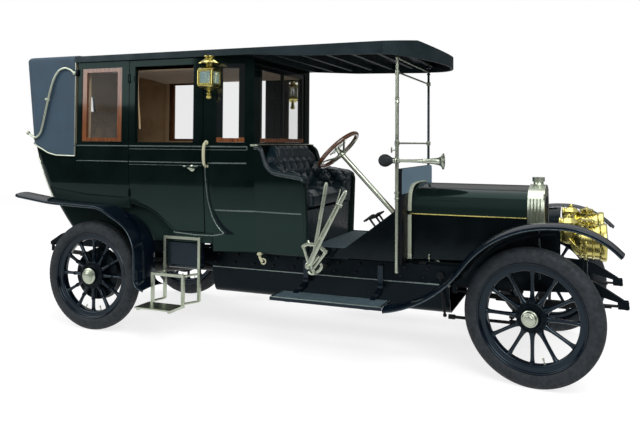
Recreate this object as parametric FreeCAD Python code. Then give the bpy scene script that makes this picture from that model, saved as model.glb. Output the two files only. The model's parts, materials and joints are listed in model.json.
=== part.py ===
"""Brass era landaulet car: millimetres, +Z up, +X forward, +Y to the car's left.

The model is drawn from the rear axle: X = 0 under the rear axle, Z = 0 on the ground.
Each piece is moved back by half the overall length as it is written, so the finished
part has its origin on the ground under the middle of the car.
"""
import FreeCAD, Part
import math
import os

V = FreeCAD.Vector
UP = V(0, 0, 1)
LEFTWARD = V(0, 1, 0)
FORWARD = V(1, 0, 0)
SIDES = (("right", -1), ("left", 1))

# ---- driving dimensions ------------------------------------------------------------
wheelbase = 3460.0
track = 1420.0
tail_x = -850.0            # rearmost point: the back of the folding head
nose_x = wheelbase + 560.0 # foremost point: the front spring eyes

tyre_r = 440.0
tyre_section = 120.0       # width of the tyre
tyre_depth = 102.0         # from the tread down to the rim
rim_r = tyre_r - tyre_depth
felloe_depth = 46.0
felloe_w = 62.0
spoke_count = 12
hub_r = 62.0
hub_flange_r = 98.0
drum_r = 205.0             # rear brake drum
drum_w = 70.0

frame_half = 394.0         # middle of each side rail
rail_w = 50.0
rail_low = 540.0
rail_high = 665.0
rail_wall = 6.0
kick_up = 70.0             # rise of the rails over the rear axle

spring_w = 48.0
leaf_t = 9.0
leaf_count = 6
leaf_bend_r = 2500.0

kingpin_half = track / 2 - 100.0   # each kingpin's distance from the centre line
kingpin_r = 14.0
stub_r = 18.0
running_gap = 0.3          # radial gap of a turning fit
seat_gap = 0.3             # between pieces that rest on each other
steer_rest_deg = -11.0     # the front wheels stand turned to the right
tie_arm = 160.0            # steering arm, back from the kingpin
drag_z = 325.0

body_half = 660.0          # half width of the rear body
body_t = 40.0              # whole wall: frame and panel
turn_z = 1330.0            # the sides stand upright above this height,
turn_slope = 0.096         # draw in below it by this much of the drop
turn_r = 3000.0            # and bend between the two at this radius
waist_z = 1518.0
waist_rear_x = -752.0
front_sill_z = 685.0
sill_high = 824.0          # top of the sill under the rear door
door_low = 830.0
seat_board_z = 1020.0      # top of the driver's seat box
cant_z = 2200.0            # underside of the roof at the body sides
floor_t = 30.0
arch_z = 1010.0            # top of the wheelhouse
arch_in = 85.0             # how far the body is cut in between the wheels
arch_half = body_half - arch_in
corner_r = 110.0           # rear corners in plan

head_front_x = -250.0
head_skirt_z = 1412.0
head_t = 26.0
door_rear_x = 290.0
door_front_x = 985.0
door_gap = 6.0
door_t = 42.0
post_x = 1060.0            # front of the door post
partition_x = 1340.0
partition_t = 40.0
partition_half = body_half - 100.0 # outer half width of the body at the partition
driver_front_x = 1818.0
driver_half = body_half - 60.0
driver_t = 34.0

roof_side_z = 2250.0
roof_crown_z = 2292.0
roof_half = 690.0
roof_skin = 16.0
rib_low = 2196.0

window_low = 1567.0
window_high = 2112.0
frame_low = 1535.0
frame_high = 2146.0
wood_t = 24.0
glass_t = 6.0

dash_x = wheelbase - 955.0
dash_t = 34.0
dash_top_z = 1352.0
bonnet_rear_x = dash_x + dash_t + seat_gap
bonnet_front_x = wheelbase - 78.0
roof_front_x = dash_x + 295.0
bonnet_half = 322.0
bonnet_low = 705.0
bonnet_hinge_z = 1016.0
bonnet_top_z = 1232.0
sheet = 4.0                # bonnet sheet
hinge_r = 5.0              # bonnet hinge barrel
clear = 6.0                # between a moving piece and what it passes
radiator_t = 112.0
radiator_low = 600.0

fender_t = 6.0
front_fender_in = track / 2 - 60.0
front_fender_out = track / 2 + 122.0
rear_fender_in = arch_half + 10.0
rear_fender_out = track / 2 + 140.0

wheel_centre_x = driver_front_x + 154.0    # steering wheel
wheel_centre_z = 1478.0
column_y = -280.0
steering_box_x = dash_x + 295.0
column_foot_z = 622.0
steering_wheel_r = 205.0

origin_x = (tail_x + nose_x) / 2


# ---- small shape tools -------------------------------------------------------------
def box(x0, x1, y0, y1, z0, z1):
    """A block between two corners."""
    return Part.makeBox(x1 - x0, y1 - y0, z1 - z0, V(x0, y0, z0))


def rod(start, end, radius):
    """A round bar between two points."""
    run = end - start
    return Part.makeCylinder(radius, run.Length, start, run)


def fuse(shapes):
    """One solid from touching shapes, with the seams between flat faces taken out."""
    return shapes[0].fuse(list(shapes[1:])).removeSplitter()


def group(shapes):
    """Separate solids that belong to one named piece."""
    return Part.makeCompound(list(shapes))


def mirrored(shape):
    """The same piece on the other side of the car."""
    return shape.mirror(V(0, 0, 0), LEFTWARD)


def on_side(shape, side):
    """A piece drawn on the right (Y < 0), kept there or mirrored to the left."""
    return shape if side < 0 else mirrored(shape)


def rounded_edges(corners, closed=True):
    """Lines joined by tangent arcs through corners (a, b, radius) in a plane."""
    count = len(corners)
    points = [FreeCAD.Vector(a, b, 0) for a, b, _ in corners]
    ends = []
    for i, (_, _, radius) in enumerate(corners):
        inner = closed or 0 < i < count - 1
        if radius <= 0 or not inner:
            ends.append((points[i], None, points[i]))
            continue
        back = (points[i - 1] - points[i]).normalize()
        ahead = (points[(i + 1) % count] - points[i]).normalize()
        half = back.getAngle(ahead) / 2
        reach = radius / math.tan(half)
        first = points[i] + back * reach
        last = points[i] + ahead * reach
        middle_way = (back + ahead).normalize()
        centre = points[i] + middle_way * (radius / math.sin(half))
        ends.append((first, centre - middle_way * radius, last))
    edges = []
    for i in range(count if closed else count - 1):
        first, middle, last = ends[i]
        if middle is not None:
            edges.append(("arc", first, middle, last))
        nxt = ends[(i + 1) % count][0]
        if (nxt - last).Length > 1e-6:
            edges.append(("line", last, nxt))
    return edges


def to_wire(edges, plane, offset):
    """Place plane edges: plane "xz" puts them at Y, "xy" at Z and "yz" at X = offset."""
    def place(p):
        if plane == "xz":
            return V(p.x, offset, p.y)
        if plane == "xy":
            return V(p.x, p.y, offset)
        return V(offset, p.x, p.y)
    made = []
    for kind, *points in edges:
        placed = [place(p) for p in points]
        if kind == "arc":
            made.append(Part.Arc(*placed).toShape())
        else:
            made.append(Part.LineSegment(*placed).toShape())
    return Part.Wire(made)


def prism(corners, plane, low, high):
    """A closed rounded outline, extruded square to its plane from low to high."""
    face = Part.Face(to_wire(rounded_edges(corners), plane, low))
    way = {"xz": LEFTWARD, "xy": UP, "yz": FORWARD}[plane]
    return face.extrude(way * (high - low))


def strip_face(centre_line, thickness, plane, offset):
    """The section of a bent plate: an open line of (a, b, radius) thickened to its left."""
    near = rounded_edges(centre_line, closed=False)
    far_corners = offset_line(centre_line, thickness)
    far = rounded_edges(far_corners, closed=False)
    back = [(kind, *reversed(points)) for kind, *points in reversed(far)]
    start_cap = ("line", back[-1][-1], near[0][1])
    end_cap = ("line", near[-1][-1], back[0][1])
    return Part.Face(to_wire(near + [end_cap] + back + [start_cap], plane, offset))


def strip(centre_line, thickness, plane, low, high):
    """A bent plate, extruded square to its plane from low to high."""
    way = {"xz": LEFTWARD, "xy": UP, "yz": FORWARD}[plane]
    return strip_face(centre_line, thickness, plane, low).extrude(way * (high - low))


def offset_line(line, distance):
    """An open line moved sideways to its left, its corner radii kept concentric."""
    moved = []
    for i, (a, b, radius) in enumerate(line):
        here = V(a, b, 0)
        ways = []
        if i > 0:
            ways.append((here - V(line[i - 1][0], line[i - 1][1], 0)).normalize())
        if i < len(line) - 1:
            ways.append((V(line[i + 1][0], line[i + 1][1], 0) - here).normalize())
        normals = [V(-w.y, w.x, 0) for w in ways]
        middle = V(0, 0, 0)
        for n in normals:
            middle = middle + n
        middle.normalize()
        reach = distance / middle.dot(normals[0])
        turn = ways[0].cross(ways[-1]).z
        new_radius = radius - distance if turn > 0 else radius + distance
        point = here + middle * reach
        moved.append((point.x, point.y, max(new_radius, 0.0) if radius > 0 else 0.0))
    return moved


def polar(centre, radius, degrees):
    """A point on a circle in plan, as (x, y)."""
    angle = math.radians(degrees)
    return centre[0] + radius * math.cos(angle), centre[1] + radius * math.sin(angle)


def side_y(z):
    """The body's outer half width at one height: upright, then bent, then drawn in."""
    bend_reach = turn_r * math.tan(math.atan(turn_slope) / 2)
    below_bend_top = turn_z + bend_reach - z
    if below_bend_top <= 0:
        return body_half
    if below_bend_top >= turn_r * math.sin(math.atan(turn_slope)):
        return body_half - turn_slope * (turn_z - z)
    return body_half - turn_r + math.sqrt(turn_r ** 2 - below_bend_top ** 2)


def drawn_in(z):
    """How far a side wall lies inside its upper face at one height."""
    return body_half - side_y(z)


def side_skin(half_rear, half_front, x0, x1, thickness, low):
    """A right side wall with the drawn-in section, run straight from one station to the next."""
    line = (
        (-half_rear, cant_z, 0), (-half_rear, turn_z, turn_r),
        (-half_rear + turn_slope * (turn_z - low), low, 0),
    )
    return strip_face(line, thickness, "yz", x0).extrude(V(x1 - x0, half_rear - half_front, 0))


def between_sides(half, x0, x1, low, high):
    """All the room between two drawn-in side walls whose upper faces are at half."""
    foot = half - turn_slope * (turn_z - low)
    corners = (
        (-foot, low, 0), (foot, low, 0), (half, turn_z, turn_r), (half, cant_z, 0), (-half, cant_z, 0),
        (-half, turn_z, turn_r),
    )
    return prism(corners, "yz", x0, x1).common(box(x0, x1, -half, half, low, high))


pieces = {}


def keep(name, shape):
    """Name a finished piece."""
    pieces[name] = shape


# ---- wheels ------------------------------------------------------------------------
def wheel(driven):
    """An artillery wheel about the Y axis, its outer face towards -Y, centred on zero."""
    outward = V(0, -1, 0)
    felloe = Part.makeCylinder(rim_r, felloe_w, V(0, felloe_w / 2, 0), outward)
    inner_r = rim_r - felloe_depth
    felloe = felloe.cut(Part.makeCylinder(inner_r, felloe_w, V(0, felloe_w / 2, 0), outward))
    hub = Part.makeCylinder(hub_r, 110, V(0, 44, 0), outward)
    flange = Part.makeCylinder(hub_flange_r, 56, V(0, 28, 0), outward)
    cap = Part.makeCone(44, 30, 24, V(0, -66, 0), outward)
    parts = [felloe, hub, flange, cap]
    for i in range(spoke_count):
        spoke = spoke_blank()
        spoke.rotate(V(0, 0, 0), LEFTWARD, 360.0 * i / spoke_count)
        parts.append(spoke)
    if driven:
        drum = Part.makeCylinder(drum_r, drum_w, V(0, 100, 0), outward)
        hollow = Part.makeCylinder(drum_r - 10, drum_w - 8, V(0, 100, 0), outward)
        parts.append(drum.cut(hollow))
    whole = fuse(parts)
    bore_r = stub_r + running_gap
    return whole.cut(Part.makeCylinder(bore_r, 128, V(0, 60, 0), outward))


def spoke_blank():
    """One eight-sided tapered spoke standing up from the hub flange into the felloe."""
    sections = []
    # rows: height, half width along the rim, half thickness across the wheel
    for height, half_w, half_t in ((hub_flange_r - 6, 17, 23), (rim_r - felloe_depth + 3, 13, 17)):
        corners = []
        for i in range(8):
            angle = math.radians(22.5 + 45 * i)
            corners.append(V(half_w * math.cos(angle), half_t * math.sin(angle), height))
        sections.append(Part.makePolygon(corners + corners[:1]))
    return Part.makeLoft(sections, True, True)


def tyre():
    """A beaded tyre about the Y axis: flat on the rim, round outside."""
    section_r = tyre_section / 2
    base = rim_r + 0.3
    half_base = math.sqrt(section_r ** 2 - (tyre_r - section_r - base) ** 2)
    outline = [
        ("line", V(base, -half_base, 0), V(base, half_base, 0)),
        ("arc", V(base, half_base, 0), V(tyre_r, 0, 0), V(base, -half_base, 0)),
    ]
    return Part.Face(to_wire(outline, "xy", 0)).revolve(V(0, 0, 0), LEFTWARD, 360)


def turned_with_knuckle(shape, kingpin):
    """A piece drawn with the wheels straight, turned with its knuckle to where it stands."""
    return shape.copy().rotated(kingpin, UP, steer_rest_deg)


wheel_rows = (
    # name, x, side, driven
    ("front_right", wheelbase, -1, False), ("front_left", wheelbase, 1, False),
    ("rear_right", 0.0, -1, True), ("rear_left", 0.0, 1, True),
)
for name, x, side, driven in wheel_rows:
    for kind, blank in (("wheel", wheel(driven)), ("tyre", tyre())):
        if side > 0:
            blank = mirrored(blank)
        placed = blank.translated(V(x, side * track / 2, tyre_r))
        if not driven:
            placed = turned_with_knuckle(placed, V(x, side * kingpin_half, 0))
        keep(kind + "_" + name, placed)


# ---- knuckles and steering linkage -------------------------------------------------
steer = math.radians(steer_rest_deg)
drop_y = -(frame_half + rail_w / 2 + 16)
drag_arm = (kingpin_half + drop_y) / math.cos(steer)     # inboard from the right kingpin
lug_low = 355.0
lug_high = 505.0
lug_t = 26.0


def knuckle(side):
    """A forked knuckle on its kingpin, with the stub axle and the steering arms."""
    pin = V(wheelbase, -kingpin_half, lug_low)
    out = V(0, -1, 0)
    parts = [Part.makeCylinder(kingpin_r, lug_high - lug_low, pin)]
    for low in (lug_low, lug_high - lug_t):
        parts.append(Part.makeCylinder(24, lug_t, V(pin.x, pin.y, low)))
        parts.append(box(pin.x - 20, pin.x + 20, pin.y - 44, pin.y, low, low + lug_t))
    parts.append(box(pin.x - 20, pin.x + 20, pin.y - 50, pin.y - 32, lug_low, lug_high))
    parts.append(Part.makeCylinder(stub_r, 118, V(pin.x, pin.y - 46, tyre_r), out))
    arm_z = lug_low
    parts.append(box(pin.x - tie_arm, pin.x, pin.y - 13, pin.y + 13, arm_z, arm_z + 20))
    eye = V(pin.x - tie_arm, pin.y, arm_z)
    parts.append(Part.makeCylinder(16, 20, eye))
    parts.append(Part.makeCylinder(7, 56, eye))
    if side < 0:
        parts.append(box(pin.x - 13, pin.x + 13, pin.y, pin.y + drag_arm, arm_z - 6, arm_z + 8))
        ball = V(pin.x, pin.y + drag_arm, drag_z - 20)
        parts.append(Part.makeCylinder(7, arm_z + 8 - ball.z, ball))
    shape = on_side(fuse(parts), side)
    return turned_with_knuckle(shape, V(wheelbase, side * kingpin_half, 0))


for name, side in SIDES:
    keep("knuckle_" + name, knuckle(side))

tie_dx = -tie_arm * math.cos(steer)
tie_dy = -tie_arm * math.sin(steer)
tie_z = 400.0


def tie_rod():
    """The track rod between the two knuckle arms; its left eye is open round its pin."""
    right = V(wheelbase + tie_dx, -kingpin_half + tie_dy, tie_z)
    left = V(wheelbase + tie_dx, kingpin_half + tie_dy, tie_z)
    inset = V(0, 15, 0)
    parts = [rod(right + inset, left - inset, 11)]
    for eye in (right, left):
        parts.append(Part.makeCylinder(17, 26, eye - V(0, 0, 13)))
    whole = fuse(parts)
    for eye, gap in ((right, running_gap), (left, 3 * running_gap)):
        whole = whole.cut(Part.makeCylinder(7 + gap, 40, eye - V(0, 0, 20)))
    return whole


keep("tie_rod", tie_rod())

drop_x = steering_box_x
drop_pivot_z = 600.0
drop_shaft_r = 13.0
crank_r = 16.0             # hole for the starting handle
ball_dx = -drag_arm * math.sin(steer)
ball_dy = drag_arm * math.cos(steer)
drop_len = drop_pivot_z - drag_z
drop_angle = math.asin(ball_dx / drop_len)


def drop_arm():
    """The swinging arm of the steering box, with its shaft end and its ball."""
    top = V(drop_x, drop_y, drop_pivot_z)
    bottom = V(drop_x + ball_dx, drop_y, drop_pivot_z - drop_len * math.cos(drop_angle))
    boss = Part.makeCylinder(26, 16, top + V(0, 8, 0), V(0, -1, 0))
    shaft = rod(top + V(0, 76, 0), top, drop_shaft_r)
    blade = rod(top, bottom, 9)
    ball = Part.makeSphere(14, bottom)
    return fuse([boss, shaft, blade, ball])


keep("drop_arm", drop_arm())


def drag_link():
    """The rod from the drop arm to the right knuckle; its rear socket is the open pivot."""
    front = V(wheelbase + ball_dx, -kingpin_half + ball_dy, drag_z - 4)
    rear = V(drop_x + ball_dx + 26, front.y, front.z)
    socket = Part.makeCylinder(17, 46, rear, FORWARD)
    eye = Part.makeCylinder(18, 24, front - V(0, 0, 12))
    body = fuse([socket, rod(rear, front, 11), eye])
    return body.cut(Part.makeCylinder(7 + running_gap, 60, front - V(0, 0, 20)))


keep("drag_link", drag_link())

# ---- chassis -----------------------------------------------------------------------
eye_r = 18.0
pin_r = 9.0
kick_z = rail_high + kick_up
front_eye = (nose_x - eye_r, 486.0)
rail_outline = (
    # x, z, bend radius: along the top from the back spring iron to the front one, then back
    (-735, 632, 0), (-600, kick_z - 20, 150), (-420, kick_z, 150), (640, kick_z, 200), (900, rail_high, 200),
    (wheelbase - 40, rail_high, 300), (wheelbase + 350, rail_high - 28, 150), (nose_x - 32, 527, 0),
    (nose_x - 46, 507, 0), (wheelbase + 320, rail_low + 20, 160), (wheelbase - 40, rail_low, 300),
    (930, rail_low, 200),
    (670, rail_low + kick_up, 200), (-420, rail_low + kick_up, 150), (-580, rail_low + kick_up - 5, 100),
    (-735, 604, 0),
)
hanger_rows = (
    # x and z of each spring eye, back and top of its cheeks
    (front_eye[0], front_eye[1], nose_x - 70, 522.0),
    (wheelbase - 560.0, 500.0, wheelbase - 575, 552.0), (600.0, 560.0, 585.0, 625.0),
    (-700.0, 566.0, -715.0, 625.0),
)


def frame_rail():
    """The right rail: a channel with its open side inwards, running out to both spring irons."""
    y_out = -frame_half - rail_w / 2
    solid = prism(rail_outline, "xz", y_out, y_out + rail_w)
    pocket = box(
        960, wheelbase - 160, y_out + rail_wall, y_out + rail_w, rail_low + rail_wall, rail_high - rail_wall)
    parts = [solid.cut(pocket)]
    for x, z, back, top in hanger_rows:
        for y in (-frame_half - spring_w / 2 - 8.5, -frame_half + spring_w / 2 + 0.5):
            parts.append(box(back, x + 15, y, y + 8, z - 14, top))
        pin = V(x, -frame_half - spring_w / 2 - 12, z)
        parts.append(Part.makeCylinder(pin_r, spring_w + 24, pin, LEFTWARD))
    return fuse(parts)


def chassis_frame():
    """Two rails, joined by cross members."""
    right = frame_rail()
    parts = [right, mirrored(right)]
    reach = frame_half
    # rows: x, z, radius of the tubular cross members
    for x, z, radius in ((-560, 690, 24), (420, 690, 26), (wheelbase + 230, 600, 22)):
        parts.append(rod(V(x, -reach, z), V(x, reach, z), radius))
    web = frame_half + rail_w / 2 - rail_wall
    for x in (1180, driver_front_x + 302, wheelbase - 160):
        parts.append(box(x - 25, x + 25, -web, web, rail_low + 20, rail_high - 20))
    crank = V(wheelbase + 195, 0, 600)
    parts.append(Part.makeCylinder(40, 70, crank, FORWARD))
    whole = fuse(parts)
    shaft_end = V(drop_x, drop_y + 80, drop_pivot_z)
    shaft_hole = rod(V(drop_x, drop_y, drop_pivot_z), shaft_end, drop_shaft_r + running_gap)
    return whole.cut(Part.makeCylinder(crank_r, 90, crank - V(10, 0, 0), FORWARD)).cut(shaft_hole)


keep("chassis_frame", chassis_frame())

axle_beam_low = 372.0
axle_tube_r = 40.0
spring_seat_z = axle_beam_low + 60


def front_axle():
    """A forged beam with a bored boss at each kingpin and a pad under each spring."""
    beam = prism(
        (
            (-kingpin_half, 412, 0), (-500, 412, 60), (-440, axle_beam_low, 60), (440, axle_beam_low, 60),
            (500, 412, 60), (kingpin_half, 412, 0), (kingpin_half, 468, 0), (500, 468, 60),
            (440, spring_seat_z, 60), (-440, spring_seat_z, 60), (-500, 468, 60), (-kingpin_half, 468, 0),
        ),
        "yz", wheelbase - 22, wheelbase + 22,
    )
    parts = [beam]
    for side in (-1, 1):
        boss_low = lug_low + lug_t + 2
        boss_foot = V(wheelbase, side * kingpin_half, boss_low)
        boss = Part.makeCylinder(27, lug_high - lug_t - 2 - boss_low, boss_foot)
        parts.append(boss)
    whole = fuse(parts)
    for side in (-1, 1):
        whole = whole.cut(rod(V(wheelbase, side * kingpin_half, 300), V(wheelbase, side * kingpin_half, 600),
                              kingpin_r + running_gap))
    return whole


keep("front_axle", front_axle())


def rear_axle():
    """The live axle: two tubes, the bevel housing and the torque tube in one casing."""
    tube_end = track / 2 - 56
    parts = [rod(V(0, -tube_end, tyre_r), V(0, tube_end, tyre_r), axle_tube_r)]
    parts.append(Part.makeSphere(150, V(0, 0, tyre_r)))
    parts.append(Part.makeCone(95, 42, 420, V(90, 0, tyre_r), FORWARD))
    parts.append(rod(V(400, 0, tyre_r), V(980, 0, tyre_r + 10), 42))
    for side in (-1, 1):
        stub = V(0, side * tube_end, tyre_r)
        parts.append(Part.makeCylinder(stub_r, 110, stub, V(0, side, 0)))
        plate = V(0, side * (track / 2 - 113), tyre_r)
        parts.append(Part.makeCylinder(drum_r - 14, 6, plate, V(0, side, 0)))
    return fuse(parts)


keep("rear_axle", rear_axle())


def leaf_spring(back, front, x_seat, z_pad, count):
    """A leaf pack resting on a pad: the main leaf from eye to eye, shorter leaves stepped under it."""
    y0 = -frame_half - spring_w / 2
    z_main = z_pad + seat_gap + leaf_t * (count - 1)
    turn = math.atan((back[1] - z_main) / (x_seat - back[0]))
    turn += math.atan((front[1] - z_main) / (front[0] - x_seat))
    z_corner = z_main - leaf_bend_r * (1 / math.cos(turn / 2) - 1)
    main = [(back[0], back[1], 0), (x_seat, z_corner, leaf_bend_r), (front[0], front[1], 0)]
    parts = []
    for i in range(count):
        share = 1 - i / count
        layer = strip(offset_line(main, -leaf_t * i) if i else main, leaf_t, "xz", y0, y0 + spring_w)
        low_x = x_seat + (back[0] - x_seat) * share
        high_x = x_seat + (front[0] - x_seat) * share
        parts.append(layer.common(box(low_x - 1, high_x + 1, y0, y0 + spring_w, 300, 800)))
    eyes = [V(x, y0, z + leaf_t / 2) for x, z in (back, front)]
    for eye in eyes:
        parts.append(Part.makeCylinder(eye_r, spring_w, eye, LEFTWARD))
    pack = fuse(parts)
    for eye in eyes:
        pack = pack.cut(Part.makeCylinder(pin_r + running_gap, spring_w, eye, LEFTWARD))
    return pack


def spring_ends(row_back, row_front):
    """Where a main leaf starts and ends, half a leaf under the pins of its two hangers."""
    return [(row[0], row[1] - leaf_t / 2) for row in (row_back, row_front)]


front_ends = spring_ends(hanger_rows[1], hanger_rows[0])
rear_ends = spring_ends(hanger_rows[3], hanger_rows[2])
front_pack = leaf_spring(*front_ends, wheelbase, spring_seat_z, leaf_count)
rear_pack = leaf_spring(*rear_ends, 0.0, tyre_r + axle_tube_r, leaf_count + 1)
keep("springs", group([front_pack, mirrored(front_pack), rear_pack, mirrored(rear_pack)]))

engine_x = (dash_x + 115, bonnet_front_x - 122)
engine = [box(engine_x[0], engine_x[1], -200, 200, 480, 1120)]
for x in (engine_x[0] + 20, engine_x[1] - 60):
    engine.append(box(x, x + 50, -frame_half - 10, frame_half + 10, rail_high + seat_gap, rail_high + 14))
keep("engine_block", fuse(engine))


def undertray():
    """The sheet-metal tray hung under the rails from the gearbox to the engine."""
    edge = frame_half + rail_w / 2 - 3
    line = ((-edge, rail_low - seat_gap, 0), (-360, 318, 70), (360, 318, 70), (edge, rail_low - seat_gap, 0))
    front = wheelbase - 600
    tray = strip(line, 5, "yz", 940, front)
    return tray.common(box(900, front + 40, -edge, edge, 300, rail_low - seat_gap))


keep("undertray", undertray())

# ---- radiator, bonnet and dashboard --------------------------------------------------
arch_outline = (
    # y, z, corner radius: the bonnet's section, left bottom round to right bottom
    (bonnet_half, bonnet_low, 0), (bonnet_half, 1186, 165), (0, bonnet_top_z + 8, 700),
    (-bonnet_half, 1186, 165), (-bonnet_half, bonnet_low, 0),
)


def radiator():
    """A shell round a recessed core, with the header tank's filler on top."""
    grow = 8
    outline = [
        (y + math.copysign(grow, y) if y else 0, z + (grow if z > 1000 else radiator_low - bonnet_low), r)
        for y, z, r in arch_outline
    ]
    back = bonnet_front_x + seat_gap
    shell = prism(outline, "yz", back, back + radiator_t)
    window = prism(
        ((258, 662, 20), (258, 1130, 110), (0, 1158, 500), (-258, 1130, 110), (-258, 662, 20)),
        "yz", back + radiator_t - 26, back + radiator_t,
    )
    neck_z = bonnet_top_z + grow - 8
    neck = Part.makeCylinder(34, 30, V(back + radiator_t / 2, 0, neck_z))
    cap = Part.makeCylinder(44, 30, V(back + radiator_t / 2, 0, neck_z + 30))
    feet = [
        box(back + 20, back + 80, side * 344 - 40, side * 344 + 40, rail_high + seat_gap, 700)
        for side in (-1, 1)
    ]
    return fuse([shell.cut(window), neck, cap] + feet)


keep("radiator", radiator())


def bonnet_top():
    """The fixed arched top of the bonnet, down to the two side hinges."""
    line = [(y, z, r) for y, z, r in arch_outline]
    low = bonnet_hinge_z + hinge_r + seat_gap
    line[0] = (bonnet_half, low, 0)
    line[-1] = (-bonnet_half, low, 0)
    return strip(line, sheet, "yz", bonnet_rear_x, bonnet_front_x)


def bonnet_side():
    """One side leaf with its hinge barrel along the top edge."""
    rear = bonnet_rear_x + clear
    front = bonnet_front_x - clear
    leaf = prism(
        (
            (rear, bonnet_low - 20, 0), (front, bonnet_low + 12, 0), (front, bonnet_hinge_z, 0),
            (rear, bonnet_hinge_z, 0),
        ),
        "xz", -bonnet_half, -bonnet_half + sheet,
    )
    barrel = rod(V(rear, -bonnet_half, bonnet_hinge_z), V(front, -bonnet_half, bonnet_hinge_z), hinge_r)
    return fuse([leaf, barrel])


keep("bonnet_top", bonnet_top())
for name, side in SIDES:
    keep("bonnet_side_" + name, on_side(bonnet_side(), side))

column_top = V(wheel_centre_x, column_y, wheel_centre_z)
column_run = V(steering_box_x - wheel_centre_x, 0, column_foot_z - wheel_centre_z)
column_way = column_run / column_run.Length
column_r = 19.0


def column_hole(gap):
    """The clear way that the steering column needs through a board."""
    return Part.makeCylinder(column_r + gap, column_run.Length, column_top, column_way)


post_x_mid = dash_x + dash_t / 2
post_half = 520.0
post_r = 14.0


def dashboard():
    """The upright board between the driver and the engine."""
    half = post_half - post_r - seat_gap
    board = prism(
        ((-half, 672, 0), (half, 672, 0), (half, dash_top_z, 30), (-half, dash_top_z, 30)),
        "yz", dash_x, dash_x + dash_t,
    )
    return board.cut(column_hole(6))


keep("dashboard", dashboard())
floor_low = kick_z + seat_gap
floor_top = floor_low + floor_t


toe_t = 18.0
toe_half = 500.0
toe_line = (
    (driver_front_x + 12, floor_low, 0), (driver_front_x + 292, floor_low, 60), (dash_x - 27, 1020, 0))


def toe_board():
    """The driver's floor, turned up in front as the toe board."""
    boards = strip(toe_line, toe_t, "xz", -toe_half, toe_half)
    bearers = [
        box(driver_front_x + 12, driver_front_x + 282, y - 25, y + 25, rail_high + seat_gap, floor_low)
        for y in (-frame_half, frame_half)
    ]
    whole = fuse([boards] + bearers)
    return whole.cut(column_hole(6))


keep("toe_board", toe_board())
cheek_low = 690.0


def toe_cheek():
    """The three-cornered side panel that closes the right end of the toe board."""
    (floor_x, _, _), (bend_x, _, bend_r), (board_x, board_z, _) = toe_line
    front = dash_x - seat_gap
    return prism(
        ((floor_x, cheek_low, 0), (front, cheek_low, 0), (front, board_z + 36, 0),
         (board_x, board_z + toe_t, 0),
         (bend_x, floor_low + toe_t + 6, bend_r), (floor_x, floor_low + toe_t + 6, 0)),
        "xz", -toe_half - seat_gap - toe_t, -toe_half - seat_gap,
    )


cheek = toe_cheek()
keep("toe_cheeks", group([cheek, mirrored(cheek)]))

# ---- fenders, steps ----------------------------------------------------------------
front_fender_line = (
    # x, z, bend radius: from the driver's step up over the wheel to the front tip
    (dash_x - 18, 416, 0), (wheelbase - 646, 480, 800), (wheelbase - 231, 1062, 720),
    (wheelbase + 364, 1062, 450), (wheelbase + 508, 898, 0),
)
rear_fender_line = (
    # x, z, bend radius: from the tail over the wheel to the flick in front of it
    (-745, 1084, 0), (-350, 1034, 1500), (150, 1016, 300), (500, 830, 300), (508, 420, 60), (587, 392, 0),
)


def front_fender():
    """The right front fender: one bent blade with a turned-down outer edge and its irons."""
    blade = strip(front_fender_line, fender_t, "xz", -front_fender_out, -front_fender_in)
    lip = strip(front_fender_line, -16, "xz", -front_fender_out, -front_fender_out + fender_t)
    rail_face = -frame_half - rail_w / 2 - seat_gap
    x = wheelbase + 10
    foot = V(x, rail_face, 620)
    knee = V(x, rail_face - 42.7, 700)
    shoulder = V(x, rail_face - 50.7, 930)
    top = V(x, -front_fender_in - 14, 1056)
    iron = fuse([
        rod(foot, knee, 11), rod(knee, shoulder, 11), rod(shoulder, top, 11), Part.makeSphere(12, knee),
        Part.makeSphere(12, shoulder),
    ])
    x = wheelbase - 610
    stay = rod(V(x, rail_face, 560), V(x, -front_fender_in - 12, 600), 11)
    inside_rail_face = box(x - 30, wheelbase + 40, rail_face, 0, 500, 700)
    return fuse([blade, lip, iron, stay]).cut(inside_rail_face)


def rear_fender():
    """The right rear fender: tucked in ahead of the wheel, cut back beside the body."""
    blade = strip(rear_fender_line, fender_t, "xz", -rear_fender_out, -rear_fender_in)
    body_side = between_sides(body_half + seat_gap, -900, door_rear_x, 900, 1300)
    lip = strip(rear_fender_line, -16, "xz", -rear_fender_out, -rear_fender_out + fender_t)
    corner = prism(((-900, -900, 0), (-600, -900, 0), (-900, -740, 0)), "xy", 1000, 1200)
    return fuse([blade.cut(body_side), lip]).cut(corner)


for name, side in SIDES:
    keep("front_fender_" + name, on_side(front_fender(), side))
    keep("rear_fender_" + name, on_side(rear_fender(), side))

step_x = (driver_front_x - 168, dash_x - 25)
step_y = (-front_fender_out + 12, -590.0)
step_z = 430.0


def step_board():
    """The driver's step on two brackets from the rail."""
    board = box(step_x[0], step_x[1], step_y[0], step_y[1], step_z - 22, step_z)
    parts = [board]
    rail_face = -frame_half - rail_w / 2 - seat_gap
    for x in (step_x[0] + 120, step_x[1] - 120):
        parts.append(prism(
            (
                (rail_face, 640, 0), (rail_face - 14, 640, 0), (rail_face - 14, 470, 40),
                (step_y[0] + 40, step_z - 22, 0), (step_y[0] + 40, step_z - 34, 0), (rail_face, 440, 40),
            ),
            "yz", x - 20, x + 20,
        ))
    return fuse(parts)


board = step_board()
keep("step_boards", group([board, mirrored(board)]))


sill_half = side_y(sill_high)
step_bar = 22.0
step_back_y = -sill_half - seat_gap - step_bar
step_front_y = -760.0
tread_low = 276.0
tread_t = 10.0


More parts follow.
